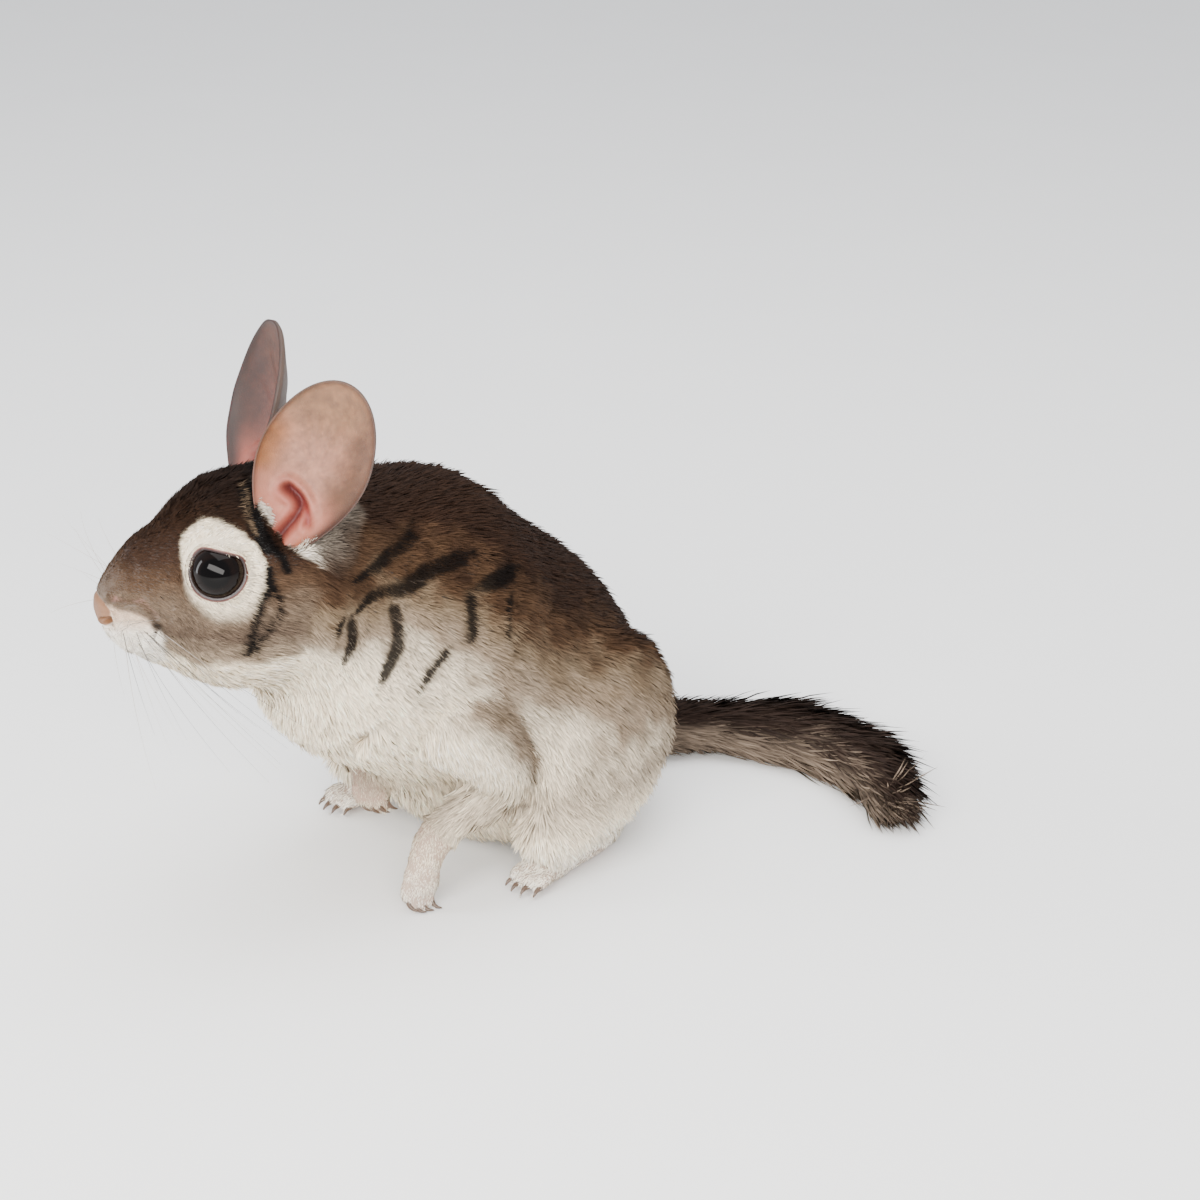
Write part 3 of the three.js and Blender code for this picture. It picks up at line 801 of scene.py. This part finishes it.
def tufts(name, roots, n, lie, length, width, rise, colours, rng, uv, form):
    """One mesh of tapered, bending blades, each a tuft of hair. Lengths are in millimetres."""
    count = len(roots)
    b = in_body(roots)
    side = unit(np.cross(n, lie))
    swing = 0.14 * noise(b, 2.6, 5) + 0.14 * noise(b, 9, 6) + 0.13 * rng.normal(size=count)
    way = unit(lie * np.cos(swing)[:, None] + side * np.sin(swing)[:, None])
    clump = 1 + 0.18 * noise(b, 3.2, 7) + 0.12 * rng.normal(size=count)
    long = length * np.clip(clump, 0.45, 1.5)
    tip = roots + way * (long * MM)[:, None]
    over = np.maximum(tip - solid_box[1], solid_box[0] - tip).max(axis=1) / MM
    long = np.clip(long - 1.2 * np.maximum(over - TIP_REACH, 0), 0.3 * long, long)
    start = rise * (1 + 0.22 * rng.normal(size=count) + 0.25 * noise(b, 2.4, 8))
    across = unit(np.cross(way, n))
    roll = 0.6 * rng.normal(size=count)
    across = unit(across * np.cos(roll)[:, None] + n * np.sin(roll)[:, None])
    tone = np.clip(1 + 0.13 * rng.normal(size=count) + 0.12 * noise(b, 1.5, 9), 0.6, 1.45)
    dark_tip = rng.random(count) < TIP_BLACK
    ticked = np.where(rng.random(count) < TIP_PALE, 1.55, 1.0)
    centre = roots - n * (0.35 * MM)
    rows, shades, ups = [], [], []
    before = 0.0
    for level, share, bright in form:
        lean = start * (1 - 0.7 * (before + level) / 2)
        ahead = way * np.cos(lean)[:, None] + n * np.sin(lean)[:, None]
        centre = centre + ahead * (long * (level - before) * MM)[:, None]
        before = level
        centre[:, 2] = np.maximum(centre[:, 2], LOWEST)
        half = across * (width * share / 2 * MM)[:, None]
        light = bright * tone * (np.where(dark_tip, 0.5, ticked) if level == 1 else 1)
        shade = np.clip(colours(centre) * light[:, None], 0, 1)
        for point in (centre - half, centre + half) if share else (centre,):
            point[:, 2] = np.maximum(point[:, 2], LOWEST)
            rows.append(point)
            shades.append(shade)
            ups.append(unit(n * 0.8 + ahead * (0.1 + 0.25 * level)))
    corner = len(rows)
    first = np.arange(count)[:, None] * corner
    quads = [first + (k, k + 1, k + 3, k + 2) for k in range(0, corner - 3, 2)]
    quads = np.concatenate(quads, axis=1).reshape(-1, 4)
    tris = (first + (corner - 3, corner - 2, corner - 1)).reshape(-1, 3)
    corners = np.concatenate((quads.ravel(), tris.ravel())).astype(np.int32)
    totals = np.concatenate((np.full(len(quads), 4), np.full(len(tris), 3))).astype(np.int32)
    mesh = bpy.data.meshes.new(name)
    mesh.vertices.add(count * corner)
    mesh.vertices.foreach_set("co", np.stack(rows, axis=1).astype(np.float32).ravel())
    mesh.loops.add(len(corners))
    mesh.loops.foreach_set("vertex_index", corners)
    mesh.polygons.add(len(totals))
    mesh.polygons.foreach_set("loop_start", np.concatenate(([0], np.cumsum(totals)[:-1])).astype(np.int32))
    mesh.polygons.foreach_set("use_smooth", np.ones(len(totals), bool))
    mesh.update(calc_edges=True)
    mesh.normals_split_custom_set_from_vertices(np.stack(ups, axis=1).reshape(-1, 3))
    paint(mesh, "coat", np.stack(shades, axis=1).reshape(-1, 3))
    spot = [(k % 2 - 0.5, k // 2 * 2 / (corner - 1) - 0.5) for k in range(corner - 1)] + [(0, 0.5)]
    flat = (uv[:, None] + np.array(spot)[None] * PATCH).reshape(-1, 2)
    layer = mesh.uv_layers.new(name="OFBake")
    layer.uv.foreach_set("vector", flat[corners].astype(np.float32).ravel())
    return link(name, mesh)


def growth(co, n, near, table, share):
    """How thickly the coat grows at each point. The eyes, nose, lips, ears' cups and soles are bare."""
    side = both_sides(in_head(co))
    thick = table[:, 2] * mix(1.4, 1, step(0, 2.5, parting_distance(co, share)))
    thick *= step(-0.2, 0.25, eye_distance(co)) * step(0.95, 1.1, nose_reach(side))
    thick *= step(0.3, 0.8, near_line(side, MOUTH))
    for hand in (1, -1):
        past, reach, _ = past_lids(in_head(co), hand)
        thick *= np.where(reach < EYE_RADIUS + 2.5, step(4, 7, past), 1)
    feet = np.isin(near, FEET)
    thick *= 1 - feet * step(0.35, 0.75, -n[:, 2])
    for name in EARS:
        reach, ahead, _ = ear_reach(co, name)
        thick *= np.where(np.abs(ahead - behind_ear(reach)) < 0.4, step(0.98, 1.08, reach), 1)
    return thick * np.where(co[:, 2] < 0.6 * MM, 0.25, 1)


def grow_coat(skin, near, n, table, share, lie):
    """All coat pieces. The tufts of the face and feet are the smallest."""
    mesh = skin.data
    co = places(mesh)
    table = table.copy()
    parting = parting_distance(co, share)
    table[:, 1] *= mix(0.4, 1, step(-0.5, 6, parting))
    table[:, 3] *= mix(0.75, 1, step(0, 4, parting))
    for name in EARS:
        reach, ahead, _ = ear_reach(co, name)
        table[:, 1] *= np.where(np.abs(ahead) < 12, mix(0.45, 1, step(1.0, 1.5, reach)), 1)
    thick = growth(co, n, near, table, share)
    uv = read(mesh.uv_layers["OFBake"].uv, "vector", 2)
    pieces = []
    for number, (name, (members, form, stand)) in enumerate(COAT_PIECES.items()):
        rng = np.random.default_rng(SEED + number)
        corners, loops, weights = sample_roots(mesh, thick * np.isin(near, members), rng)
        order = rng.permutation(len(corners))
        corners, loops, weights = corners[order], loops[order], weights[order]
        parts = -(-len(corners) * (2 * len(form) - 3) // MOST_TRIANGLES)
        for part in range(parts):
            chosen = slice(part, None, parts)
            weight = weights[chosen][..., None]

            def there(field, index=corners[chosen], weight=weight):
                return (field[index] * weight).sum(1)

            roots, up, facts, shares = there(co), unit(there(n)), there(table), there(share)
            way = there(lie)
            way = unit(way - up * (way * up).sum(1, keepdims=True))
            depth, length, width = facts[:, 0], facts[:, 1], facts[:, 3]

            def colours(spots, up=up, shares=shares, is_tail=name == "coat_tail"):
                return markings(spots, up, shares[:, 0], shares[:, 1], is_tail)

            rise = np.arcsin(np.clip(1.35 * depth / length, 0.12, 0.9)) + stand
            piece_name = name if parts == 1 else f"{name}_{part + 1}"
            flat = there(uv, loops[chosen])
            pieces.append(tufts(piece_name, roots, up, way, length, width, rise, colours, rng, flat, form))
    return pieces


# Ears, lids, eyes, claws and whiskers
EARS = {
    "ear_left": ((17.2, 14.4, 3), (0.9, -0.36, 0.24), (0.19, 0.36, 1)),
    "ear_right": ((-17, 11, 7), (0.16, -1, 0.3), (-0.16, 0.3, 1)),
}
EAR_HEIGHT, EAR_WIDTH, EAR_WALL, EAR_CUP = 48.5, 30.0, 1.3, 6.0
# The left ear's two folds, across and up from its foot, and the height that fur covers it to.
EAR_CREASE = np.array([(-4.5, 16.5), (-1.0, 15), (0.6, 12), (-0.6, 7), (-1.6, 3)])
EAR_SECOND = np.array([(-4.0, 16.8), (0, 15.2), (2.6, 13.2), (4.2, 10.4)])
EAR_COVER = ((-15, -7, -3, 1, 6), (12, 10, 4, 2.5, 3.5))


def axes_facing(look, upright):
    """Columns that turn a piece made towards -Y and upright along +Z to face along look."""
    back = -unit(np.array(look, float))
    side = unit(np.cross(back, upright))
    return np.column_stack((side, back, np.cross(side, back)))


def in_ear(points, name):
    foot, look, upright = EARS[name]
    return (in_head(points) - foot) @ axes_facing(look, upright)


def on_ear(own, name):
    foot, look, upright = EARS[name]
    return on_head(own @ axes_facing(look, upright).T + np.array(foot))


def ear_reach(points, name):
    """How far points lie from the middle of an ear's oval (1 at its rim), how far behind its dish, and
    the points in the ear's own frame."""
    own = in_ear(points, name)
    tall = np.clip(own[:, 2] / EAR_HEIGHT, -0.2, 1.2)
    wide = own[:, 0] / (EAR_WIDTH / 2 * ear_narrow(np.clip(tall, 0, 1)))
    reach = np.hypot(wide, 2 * tall - 1)
    return reach, own[:, 1] - ear_dish(reach, tall, wide), own


def ear_narrow(tall):
    return 0.6 + 0.4 * np.sin(np.minimum(tall / 0.62, 1) * math.pi / 2)


def ear_dish(reach, tall, wide):
    return EAR_CUP * (1.25 - 0.5 * tall) * (1 - reach**2) - 2.2 * (1 - tall) * wide**2


def behind_ear(reach):
    """Millimetres from an ear's dish back to the skin, which lies deepest under the folds."""
    return 0.6 + 2.5 * step(1.02, 0.88, reach)


def seat_ear(points, name):
    """Draws the skin in front of an ear's cup back behind it, so that all but the cup's foot shows."""
    reach, ahead, own = ear_reach(points, name)
    behind = behind_ear(reach)
    share = (1 - step(0.93, 1.12, reach)) * (ahead < behind) * (ahead > -20)
    cover = np.interp(own[:, 0] * hand_of(name), *EAR_COVER)
    share *= step(cover - 0.8, cover + 0.8, own[:, 2])
    own[:, 1] += (behind - ahead) * share
    return on_ear(own, name)


def build_ear(name):
    """An ear of two skins, its dish and its back, that meet at the rim."""
    spokes, bands = 120, 36
    reach = np.repeat(np.arange(1, bands + 1) / bands, spokes)
    turn = np.tile(np.arange(spokes) / spokes * 2 * math.pi, bands)
    tall = (np.sin(turn) * reach + 1) / 2
    wide = reach * np.cos(turn)
    deep = ear_dish(reach, tall, wide)
    x = EAR_WIDTH / 2 * wide * ear_narrow(tall)
    z = EAR_HEIGHT * tall
    flat = np.column_stack((x, np.zeros_like(x), z))
    lip = peak(1 - reach, 0.05)
    hand = hand_of(name)
    folds = [smooth_flat(line * (hand, 1), 20) for line in (EAR_CREASE, EAR_SECOND)]
    crease, second = (near_line(flat[:, ::2], line) for line in folds)
    fold = 1.6 * peak(crease, 1.1) + 1.0 * peak(second, 0.9)
    ridge = 1.1 * peak(crease - 2.6, 1.3) + 0.6 * peak(second - 2.2, 1.0)
    ribs = 0.28 * np.sin(turn * 9 + 2 * reach) * peak(reach - 0.6, 0.3) * step(0.35, 0.6, tall)
    wave = 0.35 * noise(flat, 9, 21)
    front = deep + fold - ridge + ribs + wave - 0.8 * lip
    wall = EAR_WALL * (1 - 0.35 * reach) * (1 - 0.45 * (reach > 0.999))
    bottom = float(front[:spokes].mean())
    middles = [(0, bottom, EAR_HEIGHT / 2), (0, bottom + EAR_WALL, EAR_HEIGHT / 2)]
    inner = np.column_stack((x, front, z))
    outer = np.column_stack((x, np.maximum(deep + wave, front) + wall, z))
    co = np.vstack((middles, inner, outer))
    to_back = bands * spokes
    faces = []
    for s in range(spokes):
        t = (s + 1) % spokes
        a, b = 2 + s, 2 + t
        faces.append((0, a, b))
        faces.append((1, b + to_back, a + to_back))
        for _ in range(bands - 1):
            faces.append((a, a + spokes, b + spokes, b))
            faces.append((a + to_back, b + to_back, b + to_back + spokes, a + to_back + spokes))
            a, b = a + spokes, b + spokes
        faces.append((a, a + to_back, b + to_back, b))
    ear = new_object(name + "_skin", on_ear(co, name), faces)
    is_back = np.concatenate(([0, 1], np.zeros(len(x)), np.ones(len(x))))
    reach = np.concatenate(([0, 0], reach, reach))
    crease, second = (np.concatenate(([9, 9], far, far)) for far in (crease, second))
    flat = co * (1, 0, 1)
    paint(ear.data, "tint", ear_colours(flat, hand, is_back, reach, crease, second))
    return ear


def ear_colours(flat, hand, is_back, reach, crease, second):
    """Peach inside, tan and brown to the tip and rim, with a red crease at the foot; grey-brown behind. The
    right ear's inside is darkened with painted shade.
    """
    u = flat[:, 0] / (EAR_WIDTH / 2) * hand
    v = flat[:, 2] / EAR_HEIGHT + 0.03 * noise(flat, 6, 31)
    inside = np.tile(colour("b27c64"), (len(flat), 1))
    layers = (
        ("8d6547", step(0.5, 0.85, v) * 0.95),
        ("6d4a35", step(0.15, 0.7, u + 0.15 * noise(flat, 5, 34)) * step(0.1, 0.35, v)),
        ("9c6238", step(0.45, 0.85, -u) * step(0.3, 0.45, v) * step(0.75, 0.6, v)),
        ("c98069", step(0.45, 0.2, v) * step(0.95, 0.5, u)),
        ("b5602f", 0.7 * np.exp(-(((u - 0.35) / 0.25) ** 2) - ((v - 0.08) / 0.08) ** 2)),
        ("2a1a12", step(0.72, 1, reach) * step(0.1, 0.6, u) * step(0.6, 0.25, v)),
        ("4a3024", step(0.92, 1.0, reach) * 0.9),
        ("b4483f", 0.6 * peak(crease, 3.4)),
        ("8c2723", 0.85 * peak(second, 0.9)),
        ("5c0f10", 0.97 * peak(crease, 1.1)),
    )
    for code, share in layers:
        inside = mix(inside, colour(code), share)
    mottle = 0.13 * noise(flat, 2.4, 32) + 0.11 * noise(flat, 1.0, 36) + 0.1 * noise(flat, 0.5, 35)
    inside *= (0.62 + mottle * mix(0.4, 1.2, step(0.2, 0.6, v)))[:, None]
    # Painted shade: the right ear is turned from the light, so its inside is painted darker and mauve.
    if hand < 0:
        inside *= mix(np.array((0.7, 0.5, 0.5)), np.array((0.33, 0.22, 0.22)), step(0.1, 0.55, v))
    behind = colour("493930") * (1 + 0.1 * noise(flat, 4, 33))[:, None]
    return np.clip(mix(inside, behind, is_back), 0, 1)


def build_lids(name):
    """The rim round an eye: a band that hugs the ball, wider at its front and back corners."""
    hand = hand_of(name)
    spokes = 128
    turn = np.arange(spokes) / spokes * 2 * math.pi
    look, back, up = eye_axes(hand)
    behind = peak(np.abs(np.angle(np.exp(1j * (turn - 0.1)))), 0.24)
    before = peak(np.abs(np.angle(np.exp(1j * (turn - math.pi + 0.1)))), 0.5)
    opening = lid_opening(turn)
    outer = opening + 4.2 + 12 * behind + 9 * before
    rows = (
        (-0.6, opening + 1.0, 0.0),
        (0.1, opening, 0.05),
        (0.45, opening + 1.4, 0.25),
        (0.75, mix(opening, outer, 0.6), 0.55),
        (0.8, outer, 1.0),
        (0.1, outer + 3, 1.0),
        (-0.9, outer + 6, 1.0),
    )
    co, shares = [], []
    for lift, angle, share in rows:
        a = np.radians(angle)[:, None]
        ring = back * np.cos(turn)[:, None] + up * np.sin(turn)[:, None]
        lifted = EYE_RADIUS + lift - 0.3 * (behind + before)[:, None] * (lift > 0.5)
        co.append((look * np.cos(a) + ring * np.sin(a)) * lifted)
        shares.append(np.full(spokes, share))
    faces = [face if hand > 0 else face[::-1] for face in band_faces(len(rows), spokes, True)]
    lids = new_object(name, on_head(np.vstack(co) + eye_centre(hand)), faces)
    shades = [(0, colour("120807")), (0.25, colour("2a1311")), (0.55, RIM_RED), (1, colour("7f5a4c"))]
    paint(lids.data, "tint", ramp(np.concatenate(shares), shades))
    return lids


def build_ball(name):
    """An eyeball with a cornea that swells a little, a pupil and a very dark iris."""
    hand = hand_of(name)
    look, back, up = eye_axes(hand)
    spokes, bands = 72, 44
    angle = np.repeat(np.arange(1, bands) / bands * math.pi, spokes)
    turn = np.tile(np.arange(spokes) / spokes * 2 * math.pi, bands - 1)
    ring = back * np.cos(turn)[:, None] + up * np.sin(turn)[:, None]
    way = np.vstack((look * np.cos(angle)[:, None] + ring * np.sin(angle)[:, None], look, -look))
    angle = np.concatenate((angle, (0, math.pi)))
    reach = EYE_RADIUS * (1 - 0.012 * step(0.3, 1.3, angle))
    faces = []
    front, rear = len(way) - 2, len(way) - 1
    for k in range(spokes):
        t = (k + 1) % spokes
        faces.append((front, k, t))
        end = (bands - 2) * spokes
        faces.append((rear, end + t, end + k))
        for r in range(bands - 2):
            faces.append((r * spokes + k, (r + 1) * spokes + k, (r + 1) * spokes + t, r * spokes + t))
    faces = [face if hand > 0 else face[::-1] for face in faces]
    ball = new_object(name, on_head(way * reach[:, None] + eye_centre(hand)), faces)
    iris = ramp(angle, [(0, colour("020101")), (0.5, colour("020101")), (0.62, colour("0d0604")),
                        (0.9, colour("070302")), (1.1, colour("1d110d")), (3.2, colour("2a1a15"))])
    paint(ball.data, "tint", iris * (1 + 0.2 * noise(way * 8, 0.9, 41))[:, None])
    return ball


# Where the digits of each foot end, and the way they point. Body frame, millimetres.
def fore_tips(palm, reach, spread, curl):
    palm, reach, spread, curl = (np.array(v, float) for v in (palm, reach, spread, curl))
    reach, spread, curl = unit(reach), unit(spread), unit(curl)
    tips = []
    for place in (-1.5, -0.5, 0.5, 1.5):
        long = 8.6 - 0.8 * abs(place)
        tip = palm + spread * place * 2.3 + reach * long + curl * 0.8
        tips.append((tip, unit(reach + 0.5 * curl), curl))
    return tips


def hind_tips(out):
    tips = []
    for place in (-1.5, -0.5, 0.5, 1.5):
        tip = np.array((out * (38.5 + place * 3.4), -14 + abs(place) * 1.5, 2.6))
        tips.append((tip, unit(np.array((out * place * 0.1, -1, -0.1))), np.array((0, -0.2, -0.6))))
    return tips


def build_claws():
    """Small curved claws on every digit."""
    digits = fore_tips((22.3, -36, 8.6), (0.2, -0.45, -0.88), (0.35, 0.9, -0.1), (0.75, 0.6, 0))
    digits += fore_tips((-7, -27, 26), (0.45, -0.3, -0.85), (0.6, 0.8, 0), (0.2, 0.9, -0.2))
    digits += hind_tips(1) + hind_tips(-1)
    points, faces, start = [], [], 0
    for tip, ahead, curl in digits:
        bends = ((-1.2, 0), (0.6, 0.2), (1.5, 1.1), (1.8, 2.2))
        path = bezier_like([tip + ahead * out + curl * down for out, down in bends], 8)
        path[:, 2] = np.maximum(path[:, 2], 0.5)
        co, made = tube(on_body(path), np.linspace(0.95, 0.12, 8) ** 0.8 * MM, 8)
        points.append(co)
        faces += [tuple(v + start for v in f) for f in made]
        start += len(co)
    return new_object("claws", np.vstack(points), faces)


# Whiskers on each side, how many stand in a row, and how many of them are swept ahead.
WHISKERS, WHISKER_COLUMNS, SWEPT_AHEAD = 24, 6, 8
# Metres that they may pass the solids' box by, and their least height.
WHISKER_REACH, WHISKER_LOWEST = 0.008, 0.003


def build_whiskers():
    """Tapered hairs from the muzzle's sides, some swept ahead and most of them back, pale or dark."""
    rng = np.random.default_rng(SEED + 40)
    low, high = np.array(solid_box)
    low, high = low - WHISKER_REACH, high + WHISKER_REACH
    low[2] = WHISKER_LOWEST
    points, faces, tints = [], [], []
    start = 0
    for hand in (1, -1):
        for n in range(WHISKERS):
            row, column = divmod(n, WHISKER_COLUMNS)
            root = np.array((hand * (10.8 + 0.5 * column), -24.5 + 1.5 * column, -13.5 - 1.7 * row))
            root += rng.normal(size=3) * 0.3
            if n < SWEPT_AHEAD:
                out = (hand * rng.uniform(0.4, 0.7), rng.uniform(-0.75, -0.2), rng.uniform(0.0, 0.5))
            else:
                out = (hand * rng.uniform(0.45, 0.8), 0.1 + 0.15 * column, -0.45 - 0.15 * row)
            out = unit(np.array(out) + rng.normal(size=3) * 0.1)
            droop = np.array((-0.15 * hand, 0.45, -0.3)) * rng.uniform(0.3, 1.0)
            long = rng.uniform(22, 38) + 3 * column
            t = np.linspace(0, 1, 10)[:, None]
            for _ in range(12):
                path = on_head(root + out * (long * t) + droop * (long * 0.5 * t**2))
                if (path > low).all() and (path < high).all():
                    break
                long *= 0.86
            path[0] = on_head(root - out)
            co, made = tube(path, np.linspace(0.085, 0.018, 10) * MM, 4)
            points.append(co)
            faces += [tuple(v + start for v in f) for f in made]
            start += len(co)
            dark = n >= SWEPT_AHEAD and rng.random() < 0.4
            tints.append(np.tile(colour("1d1512") if dark else colour("a89e94"), (len(co), 1)))
    whiskers = new_object("whiskers", np.vstack(points), faces)
    paint(whiskers.data, "tint", np.vstack(tints))
    return whiskers


# Materials
def material(name, **values):
    made = bpy.data.materials.new(name)
    made.use_nodes = True
    shader = made.node_tree.nodes["Principled BSDF"]
    for key, value in values.items():
        shader.inputs[key.replace("_", " ")].default_value = value
    return made, made.node_tree, shader


def grain_of(tree, size, detail):
    """A noise over the piece, with grain of a size in millimetres."""
    where = tree.nodes.new("ShaderNodeTexCoord")
    grain = tree.nodes.new("ShaderNodeTexNoise")
    grain.inputs["Scale"].default_value = 1 / (size * MM)
    grain.inputs["Detail"].default_value = detail
    tree.links.new(where.outputs["Object"], grain.inputs["Vector"])
    return grain.outputs["Fac"]


def tinted(name, attribute, bump=None, **values):
    """A material that takes its colour from an attribute, with fine bumps of a size in millimetres."""
    made, tree, shader = material(name, **values)
    tint = tree.nodes.new("ShaderNodeAttribute")
    tint.attribute_name = attribute
    tree.links.new(tint.outputs["Color"], shader.inputs["Base Color"])
    if bump:
        size, strength = bump
        bumps = tree.nodes.new("ShaderNodeBump")
        bumps.inputs["Strength"].default_value = strength
        bumps.inputs["Distance"].default_value = 0.2 * MM
        tree.links.new(grain_of(tree, size, 3), bumps.inputs["Height"])
        tree.links.new(bumps.outputs["Normal"], shader.inputs["Normal"])
    return made


def grained(name, light, dark, size, **values):
    """A material that varies between two colours, with grain of a size in millimetres."""
    made, tree, shader = material(name, **values)
    shades = tree.nodes.new("ShaderNodeValToRGB")
    shades.color_ramp.elements[0].color = (*dark, 1)
    shades.color_ramp.elements[1].color = (*light, 1)
    tree.links.new(grain_of(tree, size, 4), shades.inputs["Fac"])
    tree.links.new(shades.outputs["Color"], shader.inputs["Base Color"])
    return made


def finish_piece(piece, made, slot_name, *nodes):
    piece.data.materials.clear()
    piece.data.materials.append(made)
    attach(piece, "root")
    if nodes:
        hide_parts(*nodes)


# Stage
def area_light(name, place, target, size, power, tint=(1, 1, 1), roll=0):
    data = bpy.data.lights.new(name, "AREA")
    data.shape = "RECTANGLE"
    data.size, data.size_y = size
    data.energy = power
    data.color = tint
    lamp = link(name, data)
    lamp.location = place
    lamp.rotation_mode = "QUATERNION"
    aim = (Vector(target) - Vector(place)).to_track_quat("-Z", "Y")
    lamp.rotation_quaternion = aim @ Quaternion((0, 0, 1), roll)


def build_stage():
    floor = new_object("floor", [(-4, -4, 0), (4, -4, 0), (4, 4, 0), (-4, 4, 0)], [(0, 1, 2, 3)], False)
    set_places(floor.data, places(floor.data) - (0, 0, 0.0002))
    made = grained("floor", np.array((0.93, 0.93, 0.92)), np.array((0.9, 0.9, 0.89)), 60, Roughness=0.7)
    floor.data.materials.append(made)
    world = bpy.data.worlds.new("world")
    world.use_nodes = True
    sky = world.node_tree.nodes["Background"].inputs
    sky["Color"].default_value = (0.93, 0.95, 1.0, 1)
    sky["Strength"].default_value = 1.1
    bpy.context.scene.world = world
    target = (-0.02, -0.05, 0.08)
    area_light("key", (0.50, -0.78, 0.57), target, (1.3, 0.36), 27.0, (1.0, 0.97, 0.93), -0.35)
    area_light("side", (-0.75, -0.75, 0.35), target, (0.18, 0.7), 6.0, (0.95, 0.97, 1.0))
    area_light("top", (0.0, 0.1, 1.0), target, (0.9, 0.9), 10.0)


def unwrap(skin):
    """A map of the skin's own shape, that the coat's tufts take their places on."""
    for thing in bpy.context.selected_objects:
        thing.select_set(False)
    bpy.context.view_layer.objects.active = skin
    skin.select_set(True)
    skin.data.uv_layers.new(name="OFBake")
    bpy.ops.object.mode_set(mode="EDIT")
    bpy.ops.mesh.select_all(action="SELECT")
    bpy.ops.uv.smart_project(angle_limit=math.radians(66), island_margin=0.002)
    bpy.ops.object.mode_set(mode="OBJECT")


def paint_skin(skin, near, n, edges, share):
    """The skin's colours: the coat's markings, darker, with a tan nose pad, pink feet and painted shade in
    the nostrils.
    """
    co = places(skin.data)
    side = both_sides(in_head(co))
    tint = markings(co, n, share[:, 0], share[:, 1]) * 0.5
    face = step(10, -14, in_head(co)[:, 1]) * share[:, 0]
    tint = mix(tint, tint * 1.7, face)
    nose = (1 - step(0.95, 1.06, nose_reach(side))) * share[:, 0]
    tint = mix(tint, TAN * (1 + 0.06 * noise(in_head(co), 0.9, 15))[:, None], nose)
    # Painted shade: the nostrils are painted near black for the shade inside their pits. This dark paint
    # stays near the line on the surface. The pits' floors lie beyond it.
    nostril_shade = (1 - step(0.8, 1.5, near_line(side, NOSTRIL))) * share[:, 0]
    tint = mix(tint, colour("050202"), nostril_shade)
    fold = (1 - step(0.2, 1.3, near_line(side, LIP_FOLD))) * share[:, 0]
    tint = mix(tint, colour("8a5f52"), 0.6 * fold)
    feet = np.isin(near, FEET).astype(float)
    tint = mix(tint, colour("a07c6a"), smooth_over(feet, edges, len(feet), 3) * 0.55)
    paint(skin.data, "coat", np.clip(tint, 0, 1))


make_camera()
build_stage()
skin, near, edges, skin_normals, table, share, lie = build_skin()
unwrap(skin)
coat = grow_coat(skin, near, skin_normals, table, share, lie)
paint_skin(skin, near, skin_normals, edges, share)

skin_look = tinted("skin", "coat", (0.35, 0.5), Roughness=0.6)
coat_look = tinted("coat", "coat", Roughness=0.75, Specular_IOR_Level=0.1)
ear_look = tinted("ear", "tint", (0.45, 0.5), Roughness=0.6, Subsurface_Weight=0.1, Subsurface_Scale=0.002)
lid_look = tinted("lids", "tint", (0.3, 0.3), Roughness=0.35)
hair_look = tinted("whiskers", "tint", Roughness=0.4)
eye_look = tinted("eye", "tint", Roughness=0.04, Specular_IOR_Level=0.13)
claw_look = grained("claws", colour("6a5546"), colour("3b2c22"), 0.8, Roughness=0.35)

finish_piece(skin, skin_look, "coat", *FLESH)
for piece in coat:
    finish_piece(piece, coat_look, "brush" if piece.name.startswith("coat_tail") else "coat")
for name in EARS:
    finish_piece(build_ear(name), ear_look, "ear_skin", name)
finish_piece(build_lids("lids_left"), lid_look, "ear_skin")
finish_piece(build_lids("lids_right"), lid_look, "ear_skin")
finish_piece(build_ball("ball_left"), eye_look, "eye", "eye_left")
finish_piece(build_ball("ball_right"), eye_look, "eye", "eye_right")
finish_piece(build_claws(), claw_look, "pale_coat")
finish_piece(build_whiskers(), hair_look, "coat")
